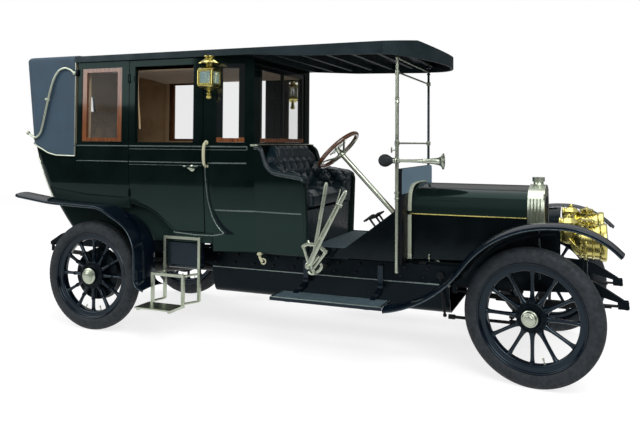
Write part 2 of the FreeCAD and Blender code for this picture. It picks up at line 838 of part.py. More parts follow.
def entrance_step():
    """The square-bar step frame under the right rear door, with its plain tread."""
    half_bar = step_bar / 2
    front_top = 514.0
    parts = []
    # rows: x of a back upright and of the shorter front one that it carries
    for x_back, x_front in ((630, 604), (945, 880)):
        parts.append(box(x_back - half_bar, x_back + half_bar, step_back_y, step_back_y + step_bar, 290, 776))
        parts.append(box(x_front - half_bar, x_front + half_bar, step_front_y, step_front_y + step_bar,
                         tread_low, front_top))
        for z in (front_top - half_bar, 290):
            back = V(x_back, step_back_y + half_bar, z)
            parts.append(rod(back, V(x_front, step_front_y + half_bar, z), half_bar - 2))
        parts.append(box(
        x_front - half_bar, x_front + half_bar, -940, step_front_y + step_bar, tread_low - 14, tread_low))
    parts.append(box(619, 956, step_back_y, step_back_y + step_bar, 765, 787))
    parts.append(box(593, 891, step_front_y, step_front_y + step_bar, front_top - step_bar, front_top))
    parts.append(box(580, 900, -950, step_front_y - 2, tread_low, tread_low + tread_t))
    return fuse(parts)


frame = entrance_step()
keep("entrance_steps", group([frame, mirrored(frame)]))
riser_out = sill_half - 5
riser_in = sill_half - 95
riser_top = floor_low - seat_gap
riser = prism(
    ((-riser_out, riser_top, 0), (-riser_in, riser_top, 0), (-riser_in, 530, 30), (-riser_out, 530, 30)),
    "yz", 645, 930,
)
keep("step_boxes", group([riser, mirrored(riser)]))

# ---- body ---------------------------------------------------------------------------
def plan_section(z, rear_x, front_x, half, radius):
    """A rounded plan outline of the body at one height."""
    corners = ((front_x, -half, 0), (front_x, half, 0), (rear_x, half, radius), (rear_x, -half, radius))
    return to_wire(rounded_edges(corners), "xy", z)


def tub(rows, front_x, wall):
    """A wrap-round wall: rows of (z, rear x, half width, corner radius), outer less inner."""
    outer = Part.makeLoft([plan_section(z, x, front_x, half, r) for z, x, half, r in rows], True, True)
    inner = Part.makeLoft(
        [plan_section(z, x + wall, front_x + 10, half - wall, r - wall) for z, x, half, r in rows], True, True)
    return outer.cut(inner)


upper_rows = (
    # z, rear x, half width, corner radius
    (arch_z, -560, side_y(arch_z), corner_r), (1180, -636, side_y(1180), corner_r),
    (turn_z, -694, side_y(turn_z), corner_r), (1440, -729, side_y(1440), corner_r),
    (waist_z, waist_rear_x, body_half, corner_r),
)
lower_rows = (
    (floor_low, -330, arch_half, 60), (860, -440, arch_half, 60), (arch_z - seat_gap, -558, arch_half, 60),
)
split_x = -440.0
upper_tub = tub(upper_rows, door_rear_x - door_gap, body_t)
keep("rear_panel", upper_tub.common(box(-900, split_x, -700, 700, 900, 1600)))

door_cut = ((door_rear_x, 1052, 0), (500, 1006, 350), (724, door_low, 0))


front_slope = (body_half - partition_half) / (partition_x + partition_t - post_x)
front_angle = math.degrees(math.atan(front_slope))


def cabin_wall_y(x):
    """The outer face of the cabin's angled front wall, from the centre line."""
    return body_half - front_slope * (x - post_x)


def body_floor():
    """The floor pan: lower rear wall, wheelhouses, sills, bearers and the rear seat's box."""
    wall = 28
    rim_line = [(x, z - 8, r) for x, z, r in door_cut]
    doorway = prism(
        rim_line + [(900, door_low - 8, 0), (900, 1200, 0), (door_rear_x, 1200, 0)], "xz", -700, 700)
    lower = tub(lower_rows, 700, wall).cut(doorway)
    plate_rear = Part.makeLoft(
        [plan_section(z, x + wall / 2, 720, arch_half - wall / 2, 46)
         for z, x in ((floor_low, -330), (floor_top, -350))],
        True, True)
    plate_x = partition_x - seat_gap
    wall_in = drawn_in(floor_low) + body_t + 3 * seat_gap
    plate_half = body_half - wall_in
    plate_front = cabin_wall_y(plate_x) - wall_in
    taper_x = post_x
    plate = prism(
        (
            (700, -plate_half, 0), (taper_x, -plate_half, 0),
            (plate_x, -plate_front, 0), (plate_x, plate_front, 0),
            (taper_x, plate_half, 0), (700, plate_half, 0),
        ),
        "xy", floor_low, floor_top,
    )
    parts = [lower, plate_rear, plate]
    for side in (-1, 1):
        shelf = box(-430, door_rear_x - door_gap, arch_half - 10, side_y(arch_z) - 2,
                    arch_z - 18, arch_z - seat_gap)
        sill = box(712, 1052, sill_half - 70, sill_half, floor_top - 20, sill_high)
        bearer = box(
            920, partition_x - seat_gap, frame_half - 25, frame_half + 25, rail_high + seat_gap, floor_low)
        rim = strip(rim_line, -14, "xz", arch_half - wall, body_half)
        rim = rim.common(between_sides(body_half - 4, 200, 800, 700, 1300))
        fill = prism(
            ((door_rear_x - 20, floor_low, 0), (716, floor_low, 0), (716, 822, 0), (500, 996, 330),
             (door_rear_x - 20, 1040, 0)),
            "xz", arch_half - wall, arch_half,
        )
        for piece in (shelf, sill, bearer, rim, fill):
            parts.append(piece if side > 0 else mirrored(piece))
    riser_x = 20
    parts.append(box(riser_x, riser_x + 18, -arch_half + wall - 2, arch_half - wall + 2, floor_top - 2, 985))
    parts.append(box(-500, riser_x + 18, -arch_half + wall - 2, arch_half - wall + 2, 967, 985))
    return fuse(parts)


keep("body_floor", body_floor())


def quarter_panel():
    """The right rear quarter: the tub's side with the window pillars and rails above it."""
    low = upper_tub.common(box(split_x + seat_gap, door_rear_x, -700, 0, 900, 1600))
    top = cant_z - seat_gap
    high = box(head_front_x + 4, door_rear_x - door_gap, -body_half, -body_half + body_t, waist_z, top)
    opening = box(-194, 214, -700, -600, frame_low, frame_high)
    return fuse([low, high.cut(opening)])


for name, side in SIDES:
    keep("quarter_panel_" + name, on_side(quarter_panel(), side))


def front_quarter():
    """The right wall between the door and the partition, with its window."""
    start_x = door_front_x + door_gap
    end_x = partition_x + partition_t
    foot = front_sill_z - 10
    post = side_skin(body_half, body_half, start_x, post_x, body_t, foot)
    angled = side_skin(body_half, partition_half, post_x, end_x, body_t, foot)
    wall = fuse([post, angled]).common(box(start_x, end_x, -700, -400, front_sill_z, cant_z - seat_gap))
    lower_cut = box(900, 1056, -700, -500, 600, 826)
    opening = box(1100, 1322, -700, -500, frame_low, frame_high)
    opening.rotate(V(post_x, -body_half, 0), UP, front_angle)
    return wall.cut(lower_cut).cut(opening)


for name, side in SIDES:
    keep("front_quarter_" + name, on_side(front_quarter(), side))
inner_half = partition_half - body_t - 2 * seat_gap


def partition():
    """The wall behind the driver, with its window."""
    wall = between_sides(inner_half, partition_x, partition_x + partition_t, floor_low, cant_z - seat_gap)
    opening = box(partition_x - 10, partition_x + 60, -452, 452, frame_low, frame_high)
    return wall.cut(opening)


keep("partition", partition())


def window_frame(x0, x1, y_out, depth):
    """A mahogany frame let into a wall that runs along X."""
    outer = box(x0, x1, y_out, y_out + depth, frame_low + seat_gap, frame_high - seat_gap)
    return outer.cut(box(x0 + 46, x1 - 46, y_out - 5, y_out + depth + 5, window_low, window_high))


quarter_frame = window_frame(-194 + seat_gap, 214 - seat_gap, -body_half + 4, wood_t)
side_frame = window_frame(1100 + seat_gap, 1322 - seat_gap, -body_half + 4, wood_t)
side_frame = side_frame.rotated(V(post_x, -body_half, 0), UP, front_angle)
partition_frame = box(partition_x + 8, partition_x + 8 + wood_t, -452 + seat_gap, 452 - seat_gap,
                      frame_low + seat_gap, frame_high - seat_gap)
for y0, y1 in ((-406, -12), (12, 406)):
    partition_frame = partition_frame.cut(box(partition_x, partition_x + 60, y0, y1, window_low, window_high))
keep("window_frames", group([
    quarter_frame, mirrored(quarter_frame), side_frame, mirrored(side_frame), partition_frame,
]))


def pane(x0, x1, y_out):
    """A flat pane resting against the inside of a frame that runs along X."""
    y = y_out + wood_t / 2
    return box(x0, x1, y, y + glass_t, window_low + seat_gap, window_high - seat_gap)


quarter_pane = pane(-194 + 46 + 2 * seat_gap, 214 - 46 - 2 * seat_gap, -body_half)
side_pane = pane(1100 + 46 + 2 * seat_gap, 1322 - 46 - 2 * seat_gap, -body_half)
side_pane = side_pane.rotated(V(post_x, -body_half, 0), UP, front_angle)
partition_panes = [
    box(partition_x + 18, partition_x + 18 + glass_t, y0 + seat_gap, y1 - seat_gap, window_low + seat_gap,
        window_high - seat_gap) for y0, y1 in ((-406, -12), (12, 406))
]
head_top = roof_side_z + 14
head_back_x = waist_rear_x - 8
light_half = 210.0
light_low = 1800.0
light_high = 1980.0


def rear_light_pane():
    """The small pane in the back of the folding head, leaning with it."""
    lean = math.atan((head_back_x - tail_x) / (head_top - waist_z))
    middle_z = (light_low + light_high) / 2
    middle_x = head_back_x - (middle_z - waist_z) * math.tan(lean) + head_t / 2
    half_height = (light_high - light_low) / 2 - glass_t
    pane_half = light_half - seat_gap
    pane = box(-glass_t / 2, glass_t / 2, -pane_half, pane_half, -half_height, half_height)
    leaning = pane.rotated(V(0, 0, 0), LEFTWARD, -math.degrees(lean))
    return leaning.translated(V(middle_x, 0, middle_z))


keep("window_glass", group(
    [quarter_pane, mirrored(quarter_pane), side_pane, mirrored(side_pane), rear_light_pane()]
    + partition_panes))


def rear_door():
    """The right rear door, hinged behind: its lower edge cut away over the wheel."""
    front = door_front_x
    rear = door_rear_x
    outline = door_cut + ((front, door_low, 0), (front, cant_z - clear, 0), (rear, cant_z - clear, 0))
    skin = side_skin(body_half, body_half, rear - 1, front + 1, door_t, door_low - 10)
    leaf = skin.common(prism(outline, "xz", -body_half - 1, -body_half + 150))
    closing_bevel = prism(
        ((front, -body_half, 0), (front + 20, -body_half, 0), (front + 20, -body_half + 160, 0),
         (front - 13, -body_half + 160, 0)),
        "xy", door_low - 10, cant_z,
    )
    leaf = leaf.cut(closing_bevel)
    opening = box(344, 898, -700, -600, 1532, frame_high)
    leaf = leaf.cut(opening)
    handle = fuse([
        rod(V(front - 60, -body_half - 30, 1338), V(front - 60, -body_half + 2, 1338), 9),
        rod(V(front - 150, -body_half - 30, 1338), V(front - 20, -body_half - 30, 1338), 8),
    ])
    parts = [leaf, handle]
    for z in (1450, 2050):
        parts.append(Part.makeCylinder(8, 70, V(rear - 3, -body_half - 8.4, z - 35)))
        parts.append(box(rear, rear + 46, -body_half - 5, -body_half + 1, z - 24, z + 24))
        parts.append(box(rear - 3, rear + 10, -body_half - 12, -body_half - 1, z - 24, z + 24))
    return fuse(parts)


for name, side in SIDES:
    keep("rear_door_" + name, on_side(rear_door(), side))

roof_rear_x = head_front_x + seat_gap


def roof():
    """The fixed roof: solid over the cabin, a ribbed canopy over the driver."""
    arc_rise = 350.0
    side_end = roof_front_x - arc_rise
    front_mid = V(roof_front_x, 0, 0)
    edges = [
        ("line", V(roof_rear_x, -roof_half, 0), V(side_end, -roof_half, 0)),
        ("arc", V(side_end, -roof_half, 0), front_mid, V(side_end, roof_half, 0)),
        ("line", V(side_end, roof_half, 0), V(roof_rear_x, roof_half, 0)),
        ("line", V(roof_rear_x, roof_half, 0), V(roof_rear_x, -roof_half, 0)),
    ]
    plan = Part.Face(to_wire(edges, "xy", 2000)).extrude(UP * 500)

    def camber(lift, low, x0, x1):
        side_z = roof_side_z - 14 + lift
        outline = [
            ("line", V(-800, low, 0), V(800, low, 0)),
            ("line", V(800, low, 0), V(800, side_z, 0)),
            ("arc", V(800, side_z, 0), V(0, roof_crown_z + lift, 0), V(-800, side_z, 0)),
            ("line", V(-800, side_z, 0), V(-800, low, 0)),
        ]
        return Part.Face(to_wire(outline, "yz", x0)).extrude(FORWARD * (x1 - x0))

    side_view = prism(
        ((roof_rear_x, cant_z, 0), (partition_x + partition_t, cant_z, 0), (1800, 2174, 300),
         (roof_front_x - 300, 2158, 300),
         (roof_front_x + 60, 2118, 0), (roof_front_x + 60, 2190, 0),
         (roof_front_x - 240, roof_crown_z + 14, 700), (roof_rear_x, roof_crown_z + 14, 0)),
        "xz", -800, 800,
    )
    body = plan.common(camber(0, 2000, roof_rear_x, 3000)).common(side_view)
    lip = 22.0
    hollow_x = partition_x + partition_t + 30
    hollow_edges = [
        ("line", V(hollow_x, -roof_half + lip, 0), V(side_end, -roof_half + lip, 0)),
        ("arc", V(side_end, -roof_half + lip, 0), V(roof_front_x - lip, 0, 0),
         V(side_end, roof_half - lip, 0)),
        ("line", V(side_end, roof_half - lip, 0), V(hollow_x, roof_half - lip, 0)),
        ("line", V(hollow_x, roof_half - lip, 0), V(hollow_x, -roof_half + lip, 0)),
    ]
    hollow_plan = Part.Face(to_wire(hollow_edges, "xy", 2000)).extrude(UP * 500)
    hollow_side = prism(
        ((1300, 2000, 0), (roof_front_x + 100, 2000, 0), (roof_front_x + 100, 2150, 0),
         (roof_front_x - 260, roof_crown_z - roof_skin, 600),
         (1300, roof_crown_z - roof_skin, 0)),
        "xz", -800, 800,
    )
    hollow = hollow_plan.common(camber(-roof_skin, 2000, 1300, 3000)).common(hollow_side)
    body = body.cut(hollow)
    ribs = []
    first_rib_x = 1560
    last_rib_x = post_x_mid - 12
    rib_count = 6
    for i in range(rib_count):
        x = first_rib_x + (last_rib_x - first_rib_x) * i / (rib_count - 1)
        ribs.append(box(x, x + 30, -roof_half + 30, roof_half - 30, rib_low, 2400).common(hollow))
    return fuse([body] + ribs)


keep("roof", roof())


def leather_head():
    """The folding leather head over the rear seat, drawn up, with its rear light."""
    half = body_half + 9
    top = head_top
    rows_out = (
        (head_skirt_z, -724, half, corner_r), (waist_z, head_back_x, half, corner_r),
        (top, tail_x, half, corner_r))
    outer = Part.makeLoft([plan_section(z, x, head_front_x, h, r) for z, x, h, r in rows_out], True, True)
    inner_half = half - head_t
    inner_rows = (
        (waist_z + seat_gap, waist_rear_x + 20, inner_half), (top - head_t, tail_x + head_t, inner_half))
    inner = Part.makeLoft(
        [plan_section(z, x, head_front_x + 10, h, corner_r - 20) for z, x, h in inner_rows], True, True)
    skirt_half = body_half + seat_gap
    skirt_rows = (
        (head_skirt_z - 5, -722 + seat_gap, skirt_half),
        (waist_z + seat_gap, waist_rear_x - seat_gap, skirt_half))
    skirt = Part.makeLoft(
        [plan_section(z, x, head_front_x + 10, h, corner_r) for z, x, h in skirt_rows], True, True)
    sweep = prism(
        ((-900, 1300, 0), (head_front_x + 10, 1300, 0), (head_front_x + 10, head_skirt_z, 0),
         (-560, head_skirt_z + 8, 200),
         (-700, waist_z, 60), (-900, waist_z + 2, 0)),
        "xz", -800, 800,
    )
    light = box(-950, -700, -light_half, light_half, light_low, light_high)
    return outer.cut(inner).cut(skirt).cut(sweep).cut(light)


keep("leather_head", leather_head())


def landau_iron():
    """The jointed S-shaped iron on the right of the head."""
    y = -body_half - 9 - 12 - seat_gap
    line = (
        (head_front_x - 8, 2112, 0), (-430, 2150, 120), (-512, 2020, 200), (-560, 1800, 300), (-600, 1620, 60),
        (-700, 1560, 40), (-760, 1632, 0),
    )
    bar = strip(line, 14, "xz", y, y + 12)
    knob = Part.makeCylinder(20, 18, V(-530, y + 12, 1850), V(0, -1, 0))
    foot = Part.makeCylinder(16, 14, V(head_front_x - 12, y + 12, 2119), V(0, -1, 0))
    return fuse([bar, knob, foot])


iron = landau_iron()
keep("landau_irons", group([iron, mirrored(iron)]))

seat_top_z = 1172.0


def rear_seat():
    """The rear cushion and the back squab."""
    half = arch_half - 30
    cushion_low = 985 + seat_gap
    cushion = prism(
        ((-470, cushion_low, 0), (44, cushion_low, 20), (44, 1150, 50), (-470, 1130, 30)), "xz", -half, half)
    back = prism(
        ((-592.6, 1175, 0), (-478, 1160, 30), (-560, 1830, 60), (-738, 1830, 40),
         (-710.9, 1516, 0), (-659.4, 1350, 0)),
        "xz", -half, half,
    )
    return group([cushion, back])


keep("rear_seat", rear_seat())

driver_x0 = partition_x + partition_t + seat_gap


driver_swing = math.degrees(math.atan((driver_half - partition_half) / (driver_front_x - driver_x0)))


def driver_skin(beyond, thickness):
    """The right wall beside the driver, swung outward from the partition, from beyond its face inward."""
    half = partition_half + beyond
    ends = 30.0
    straight = side_skin(
        half, half, driver_x0 - ends, driver_front_x + ends, beyond + thickness, front_sill_z - 10)
    return straight.rotated(V(driver_x0, -partition_half, 0), UP, -driver_swing)


def driver_side():
    """The right side of the driver's seat, its top edge swept down from the window."""
    wall = driver_skin(0.0, driver_t)
    shape = prism(
        (
            (driver_x0, front_sill_z, 0), (driver_front_x, front_sill_z, 0), (driver_front_x, 1268, 60),
            (1500, 1310, 120), (1440, 1496, 70), (driver_x0, 1500, 0),
        ),
        "xz", -700, -400,
    )
    return wall.common(shape)


side_wall = driver_side()
keep("driver_sides", group([side_wall, mirrored(side_wall)]))
box_half = partition_half - driver_t - 16
keep("seat_box", between_sides(box_half, driver_x0, driver_front_x - 20, rail_high + seat_gap, seat_board_z))
arm_in = box_half - 84


def driver_seat():
    """The driver's buttoned bench: a cushion, and a back that wraps round as arms."""
    low = seat_board_z + seat_gap
    cushion_half = arm_in - 2
    cushion = prism(
        ((1506, low, 0), (driver_front_x + 14, low, 20), (driver_front_x + 14, seat_top_z, 50),
         (1506, seat_top_z - 20, 30)),
        "xz", -cushion_half, cushion_half,
    )
    back = prism(
        ((driver_x0 + 2, low, 0), (1500, low, 0), (1500, 1300, 60), (1452, 1512, 60),
         (driver_x0 + 2, 1512, 20)),
        "xz", -driver_half, driver_half,
    )
    arm = prism(
        ((1440, low, 0), (driver_front_x - 20, low, 0), (driver_front_x - 20, 1290, 60), (1560, 1330, 100),
         (1470, 1480, 40), (1440, 1480, 0)),
        "xz", -driver_half, -arm_in,
    )
    # what lies outward of the wall's inner face, and a gap more, is taken off the padding
    outside = driver_skin(80.0, driver_t + seat_gap)
    padding = fuse([back, arm, mirrored(arm)]).cut(outside).cut(mirrored(outside))
    return group([cushion, padding])


keep("driver_seat", driver_seat())

# ---- driver's controls ---------------------------------------------------------------

def steering_column():
    """The column tube from under the wheel down to the steering box on the rail."""
    tube = Part.makeCylinder(column_r, column_run.Length - 40, column_top + column_way * 40, column_way)
    spindle = Part.makeCylinder(11, 60, column_top + column_way * 8, column_way)
    web = -(frame_half + rail_w / 2 - rail_wall - seat_gap)
    housing = box(drop_x - 70, drop_x + 60, web, column_y + 40, 556, 650)
    whole = fuse([tube, spindle, housing])
    shaft_end = V(drop_x, drop_y + 80, drop_pivot_z)
    shaft_hole = rod(V(drop_x, drop_y, drop_pivot_z), shaft_end, drop_shaft_r + running_gap)
    return whole.cut(shaft_hole)


keep("steering_column", steering_column())


def steering_wheel():
    """A wood rim on a four-spoke metal spider, set square to the column."""
    rim = Part.makeTorus(steering_wheel_r, 15)
    hub = Part.makeCylinder(30, 44, V(0, 0, -34))
    parts = [rim, hub]
    for i in range(4):
        arm = box(20, steering_wheel_r - 6, -9, 9, -7, 5)
        parts.append(arm.rotated(V(0, 0, 0), UP, 45 + 90 * i))
    whole = fuse(parts).cut(Part.makeCylinder(11 + running_gap, 36, V(0, 0, -34)))
    tilt = math.degrees(math.atan2(-column_way.x, -column_way.z))
    whole = whole.rotated(V(0, 0, 0), LEFTWARD, tilt)
    return whole.translated(column_top + column_way * -26)


keep("steering_wheel", steering_wheel())


def hand_levers():
    """The gear and brake levers on their cross shaft and notched quadrant, right of the driver."""
    x = driver_front_x + 157
    shaft = rod(V(x, -frame_half - rail_w / 2 - seat_gap, 625), V(x, -690, 625), 15)
    quadrant = prism(
        ((x - 70, 600, 20), (x + 70, 600, 20), (x + 100, 700, 30), (x + 25, 724, 60), (x - 85, 700, 30)),
        "xz", -668, -660,
    )
    gear = fuse([rod(V(x, -640, 625), V(x + 87, -640, 1225), 10), Part.makeSphere(19, V(x + 87, -640, 1240))])
    brake = fuse([
        rod(V(x, -682, 625), V(x + 221, -682, 1130), 10),
        rod(V(x + 215, -682, 1120), V(x + 253, -682, 1205), 14),
    ])
    return fuse([shaft, quadrant, gear, brake])


keep("hand_levers", hand_levers())


def pedals():
    """Three foot pedals on bent arms through the toe board."""
    (bend_x, bend_z, _), (end_x, end_z, _) = toe_line[1:]
    slope = math.atan2(end_z - bend_z, end_x - bend_x)
    along = V(math.cos(slope), 0, math.sin(slope))
    away = V(-along.z, 0, along.x)
    parts = []
    for y in (-370, -210, -110):
        foot = V(bend_x, y, bend_z) + along * 260 + away * (toe_t + seat_gap)
        arm = rod(foot, foot + away * 80, 8)
        pad = box(-6, 6, -36, 36, -40, 40).rotated(V(0, 0, 0), LEFTWARD, 90 - math.degrees(slope))
        parts.append(fuse([arm, pad.translated(foot + away * 84)]))
    return group(parts)


keep("pedals", pedals())


def front_posts():
    """The two posts that carry the front of the roof, with the bar across them."""
    parts = []
    for side in (-1, 1):
        y = side * post_half
        parts.append(rod(V(post_x_mid, y, 600), V(post_x_mid, y, rib_low - seat_gap), post_r))
        inner = side * (frame_half + rail_w / 2 + seat_gap)
        low, high = sorted((inner, y))
        parts.append(box(post_x_mid - 16, post_x_mid + 16, low, high, 600, 655))
    parts.append(rod(V(post_x_mid, -post_half, 1541), V(post_x_mid, post_half, 1541), 7))
    parts.append(rod(V(post_x_mid, -post_half, 2060), V(post_x_mid, post_half, 2060), 6))
    return fuse(parts)


keep("front_posts", front_posts())


def horn():
    """The bulb horn clamped to the right post."""
    y = -post_half - 52
    z = 1412
    profile = (
        # x from the post, radius, corner radius: rubber bulb, pipe and flared bell
        (-134, 0, 0), (-134, 50, 44), (-30, 50, 30), (-30, 11, 0), (168, 11, 0), (278, 20, 120), (326, 58, 0),
        (326, 0, 0),
    )
    body = Part.Face(to_wire(rounded_edges(profile), "xy", z)).translated(V(post_x_mid, y, 0))
    body = body.revolve(V(post_x_mid, y, z), FORWARD, 360)
    clamp = rod(V(post_x_mid, -post_half - post_r - seat_gap, z), V(post_x_mid, y, z), 8)
    return fuse([body, clamp])


keep("horn", horn())

# ---- lamps -----------------------------------------------------------------------------
def headlamp():
    """A drum headlamp on its fork, with the gas generator behind it."""
    x = wheelbase + 292
    y = -frame_half
    z = 905
    drum = Part.makeCylinder(112, 140, V(x, y, z), FORWARD)
    rim = Part.makeCylinder(126, 22, V(x + 134, y, z), FORWARD)
    back = Part.makeCone(64, 112, 32, V(x - 32, y, z), FORWARD)
    chimney = Part.makeCylinder(46, 44, V(x + 68, y, z + 96))
    dome = Part.makeCone(58, 20, 26, V(x + 68, y, z + 140))
    pot = Part.makeCylinder(62, 150, V(x - 102, y, 886))
    lid = Part.makeCone(66, 26, 40, V(x - 102, y, 1036))
    arm = rod(V(x - 62, y, 950), V(x - 20, y, 950), 14)
    prong = box(x + 5, x + 41, y - 22, y + 22, rail_high - 23.5, 806)
    return fuse([drum, rim, back, chimney, dome, pot, lid, arm, prong])


lamp = headlamp()
keep("headlamps", group([lamp, mirrored(lamp)]))


def carriage_lamp():
    """The six-sided brass lantern on its bracket beside the rear door's post."""
    x, y = 1112.0, -782.0
    def six(radius, low, high):
        corners = [polar((x, y), radius, 60 * i) + (0,) for i in range(6)]
        return prism(corners, "xy", low, high)
    parts = [six(104, 1925, 1940), six(92, 1940, 2096), six(106, 2096, 2116)]
    parts.append(Part.makeCone(96, 34, 40, V(x, y, 2116)))
    parts.append(Part.makeCone(52, 30, 36, V(x, y, 2156)))
    parts.append(Part.makeCone(20, 62, 36, V(x, y, 1889)))
    parts.append(Part.makeSphere(20, V(x, y, 1874)))
    bracket_x = x - 32
    parts.append(rod(V(bracket_x, y, 2010), V(bracket_x, -cabin_wall_y(bracket_x - 10) - seat_gap, 2010), 10))
    return fuse(parts)


lantern = carriage_lamp()
keep("lanterns", group([lantern, mirrored(lantern)]))

# ---- write -----------------------------------------------------------------------------
os.makedirs("parts", exist_ok=True)
for name, shape in pieces.items():
    shape.translated(V(-origin_x, 0, 0)).exportStep("parts/" + name + ".step")
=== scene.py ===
"""Looks of a brass era landaulet car, in metres, round the CAD frame.

Places are given from the rear axle, as (ahead, left, up), and moved into the part's frame by at().
"""
import json
import math

import bmesh
import bpy
from mathutils import Matrix, Vector


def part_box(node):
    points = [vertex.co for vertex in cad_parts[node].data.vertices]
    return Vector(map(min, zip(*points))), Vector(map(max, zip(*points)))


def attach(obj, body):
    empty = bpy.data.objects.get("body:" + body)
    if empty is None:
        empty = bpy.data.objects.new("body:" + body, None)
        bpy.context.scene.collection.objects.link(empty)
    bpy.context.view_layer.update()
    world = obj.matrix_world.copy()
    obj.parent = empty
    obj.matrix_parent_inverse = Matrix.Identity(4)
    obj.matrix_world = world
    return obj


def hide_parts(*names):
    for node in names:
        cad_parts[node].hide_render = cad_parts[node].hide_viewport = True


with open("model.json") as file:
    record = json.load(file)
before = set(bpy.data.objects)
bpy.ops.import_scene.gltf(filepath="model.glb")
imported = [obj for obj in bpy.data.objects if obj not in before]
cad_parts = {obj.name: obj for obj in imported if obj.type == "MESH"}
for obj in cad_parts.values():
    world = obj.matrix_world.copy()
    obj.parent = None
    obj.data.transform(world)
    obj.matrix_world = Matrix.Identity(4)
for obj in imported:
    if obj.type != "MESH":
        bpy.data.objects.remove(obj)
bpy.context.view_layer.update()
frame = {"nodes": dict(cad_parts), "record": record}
nodes = frame["nodes"]
joints = {joint["name"]: joint for joint in frame["record"]["behaviour"]["joints"]}
rear_axle_x = joints["rear_wheel_right_spin"]["pos_m"][0]
tyre_r = joints["rear_wheel_right_spin"]["pos_m"][2]
body_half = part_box("quarter_panel_left")[1][1]
SIDES = (("right", -1), ("left", 1))


def at(ahead, left, up):
    """A point given from the rear axle, in the part's frame."""
    return Vector((ahead + rear_axle_x, left, up))


def side_y(up):
    """Half width of the rear body: upright above the waist, drawn in towards the sill."""
    straight_above = 1.33
    drawn_in = 0.096
    round_over = 0.144
    if up > straight_above + round_over:
        return body_half
    if up < straight_above - round_over:
        return body_half - drawn_in * (straight_above - up)
    share = (straight_above + round_over - up) / (2 * round_over)
    return body_half - drawn_in * round_over * share * share


# ---- materials -----------------------------------------------------------------------
class Shader:
    """A material's node tree with short calls for what this file needs."""

    def __init__(self, name):
        self.material = bpy.data.materials.new(name)
        self.material.use_nodes = True
        self.tree = self.material.node_tree
        self.surface = self.tree.nodes["Principled BSDF"]
        self.place = self.add("ShaderNodeTexCoord").outputs["Object"]

    def add(self, kind, settings=None, **inputs):
        """A new node: settings are its own values, inputs go to its sockets by name."""
        node = self.tree.nodes.new(kind)
        for key, value in (settings or {}).items():
            setattr(node, key, value)
        for key, value in inputs.items():
            self.plug(node.inputs[key.replace("_", " ")], value)
        return node

    def plug(self, socket, value):
        """Link an output to a socket, or set the socket's own value."""
        if isinstance(value, bpy.types.NodeSocket):
            self.tree.links.new(value, socket)
        else:
            socket.default_value = value

    def set(self, **inputs):
        """Values or links for the main shader."""
        for key, value in inputs.items():
            self.plug(self.surface.inputs[key.replace("_", " ")], value)

    def axes(self, vector=None):
        """X, Y and Z of a vector, the object's own place by default."""
        return self.add("ShaderNodeSeparateXYZ", Vector=vector or self.place).outputs

    def noise(self, scale, detail=4.0, roughness=0.55, vector=None):
        """Cloudy noise from 0 to 1."""
        vector = vector or self.place
        node = self.add("ShaderNodeTexNoise", Vector=vector, Scale=scale, Detail=detail, Roughness=roughness)
        return node.outputs["Fac"]

    def ramp(self, factor, low, high, start=0.35, end=0.65):
        """A blend from one colour or grey level to another as factor goes from start to end."""
        node = self.add("ShaderNodeValToRGB", Fac=factor)
        for element, place, value in zip(node.color_ramp.elements, (start, end), (low, high)):
            element.position = place
            element.color = (*value, 1) if isinstance(value, tuple) else (value, value, value, 1)
        return node.outputs["Color"]

    def math(self, operation, a, b=0.0):
        """One arithmetic step."""
        node = self.add("ShaderNodeMath", {"operation": operation})
        self.plug(node.inputs[0], a)
        self.plug(node.inputs[1], b)
        return node.outputs[0]

    def blend(self, factor, low, high):
        """Two colours mixed by factor."""
        node = self.add("ShaderNodeMix", {"data_type": "RGBA"})
        self.plug(node.inputs["Factor"], factor)
        for key, value in (("A", low), ("B", high)):
            self.plug(node.inputs[key], (*value, 1) if isinstance(value, tuple) else value)
        return node.outputs["Result"]

    def paint_where(self, mask, color):
        """Paint over what the surface has, wherever mask is one."""
        under = self.surface.inputs["Base Color"].links[0].from_socket
        self.set(Base_Color=self.blend(mask, under, color))

    def look(self, base, roughness, relief, strength, depth):
        """Colour, roughness and small relief, the three things that every solid finish has."""
        bump = self.add("ShaderNodeBump", Height=relief, Strength=strength, Distance=depth)
        self.set(Base_Color=base, Roughness=roughness, Normal=bump.outputs["Normal"])
        return self


def lacquer(name, color, tint, roughness, shine, level, lit=None):
    """Brushed coach paint under varnish: faint cloudiness and a slight orange peel.

    With lit the colour turns to that one from the waist down: painted light, standing in for the bright
    floor mirrored in the lower walls."""
    s = Shader(name)
    base = s.ramp(s.noise(3.0), color, tint)
    # painted light: a lighter colour from the waist down, for the floor's reflection in the lower walls
    if lit is not None:
        height = s.math("DIVIDE", s.axes()["Z"], 2.0)
        base = s.blend(s.ramp(height, 1.0, 0.0, 0.46, 0.61), base, lit)
    s.set(Specular_IOR_Level=level, Specular_Tint=(*shine, 1))
    dull = s.ramp(s.noise(9.0, 6.0), roughness, roughness * 1.7)
    return s.look(base, dull, s.noise(160.0, 2.0), 0.03, 0.0005)


def metal(name, color, worn, roughness, scale=30.0):
    """Polished metal with handling marks that dull it in places."""
    s = Shader(name)
    marks = s.noise(scale, 6.0)
    s.set(Metallic=1.0)
    dull = s.ramp(marks, roughness, roughness * 1.45)
    return s.look(s.ramp(marks, color, worn), dull, s.noise(scale * 9, 3.0), 0.03, 0.0004)


def enamel(name, color, worn, roughness, level):
    """Dark painted iron and steel with a fine rough skin."""
    s = Shader(name)
    s.set(Specular_IOR_Level=level)
    dull = s.ramp(s.noise(14.0), roughness, roughness * 1.5)
    return s.look(s.ramp(s.noise(24.0, 7.0), color, worn), dull, s.noise(240.0, 4.0), 0.2, 0.0008)


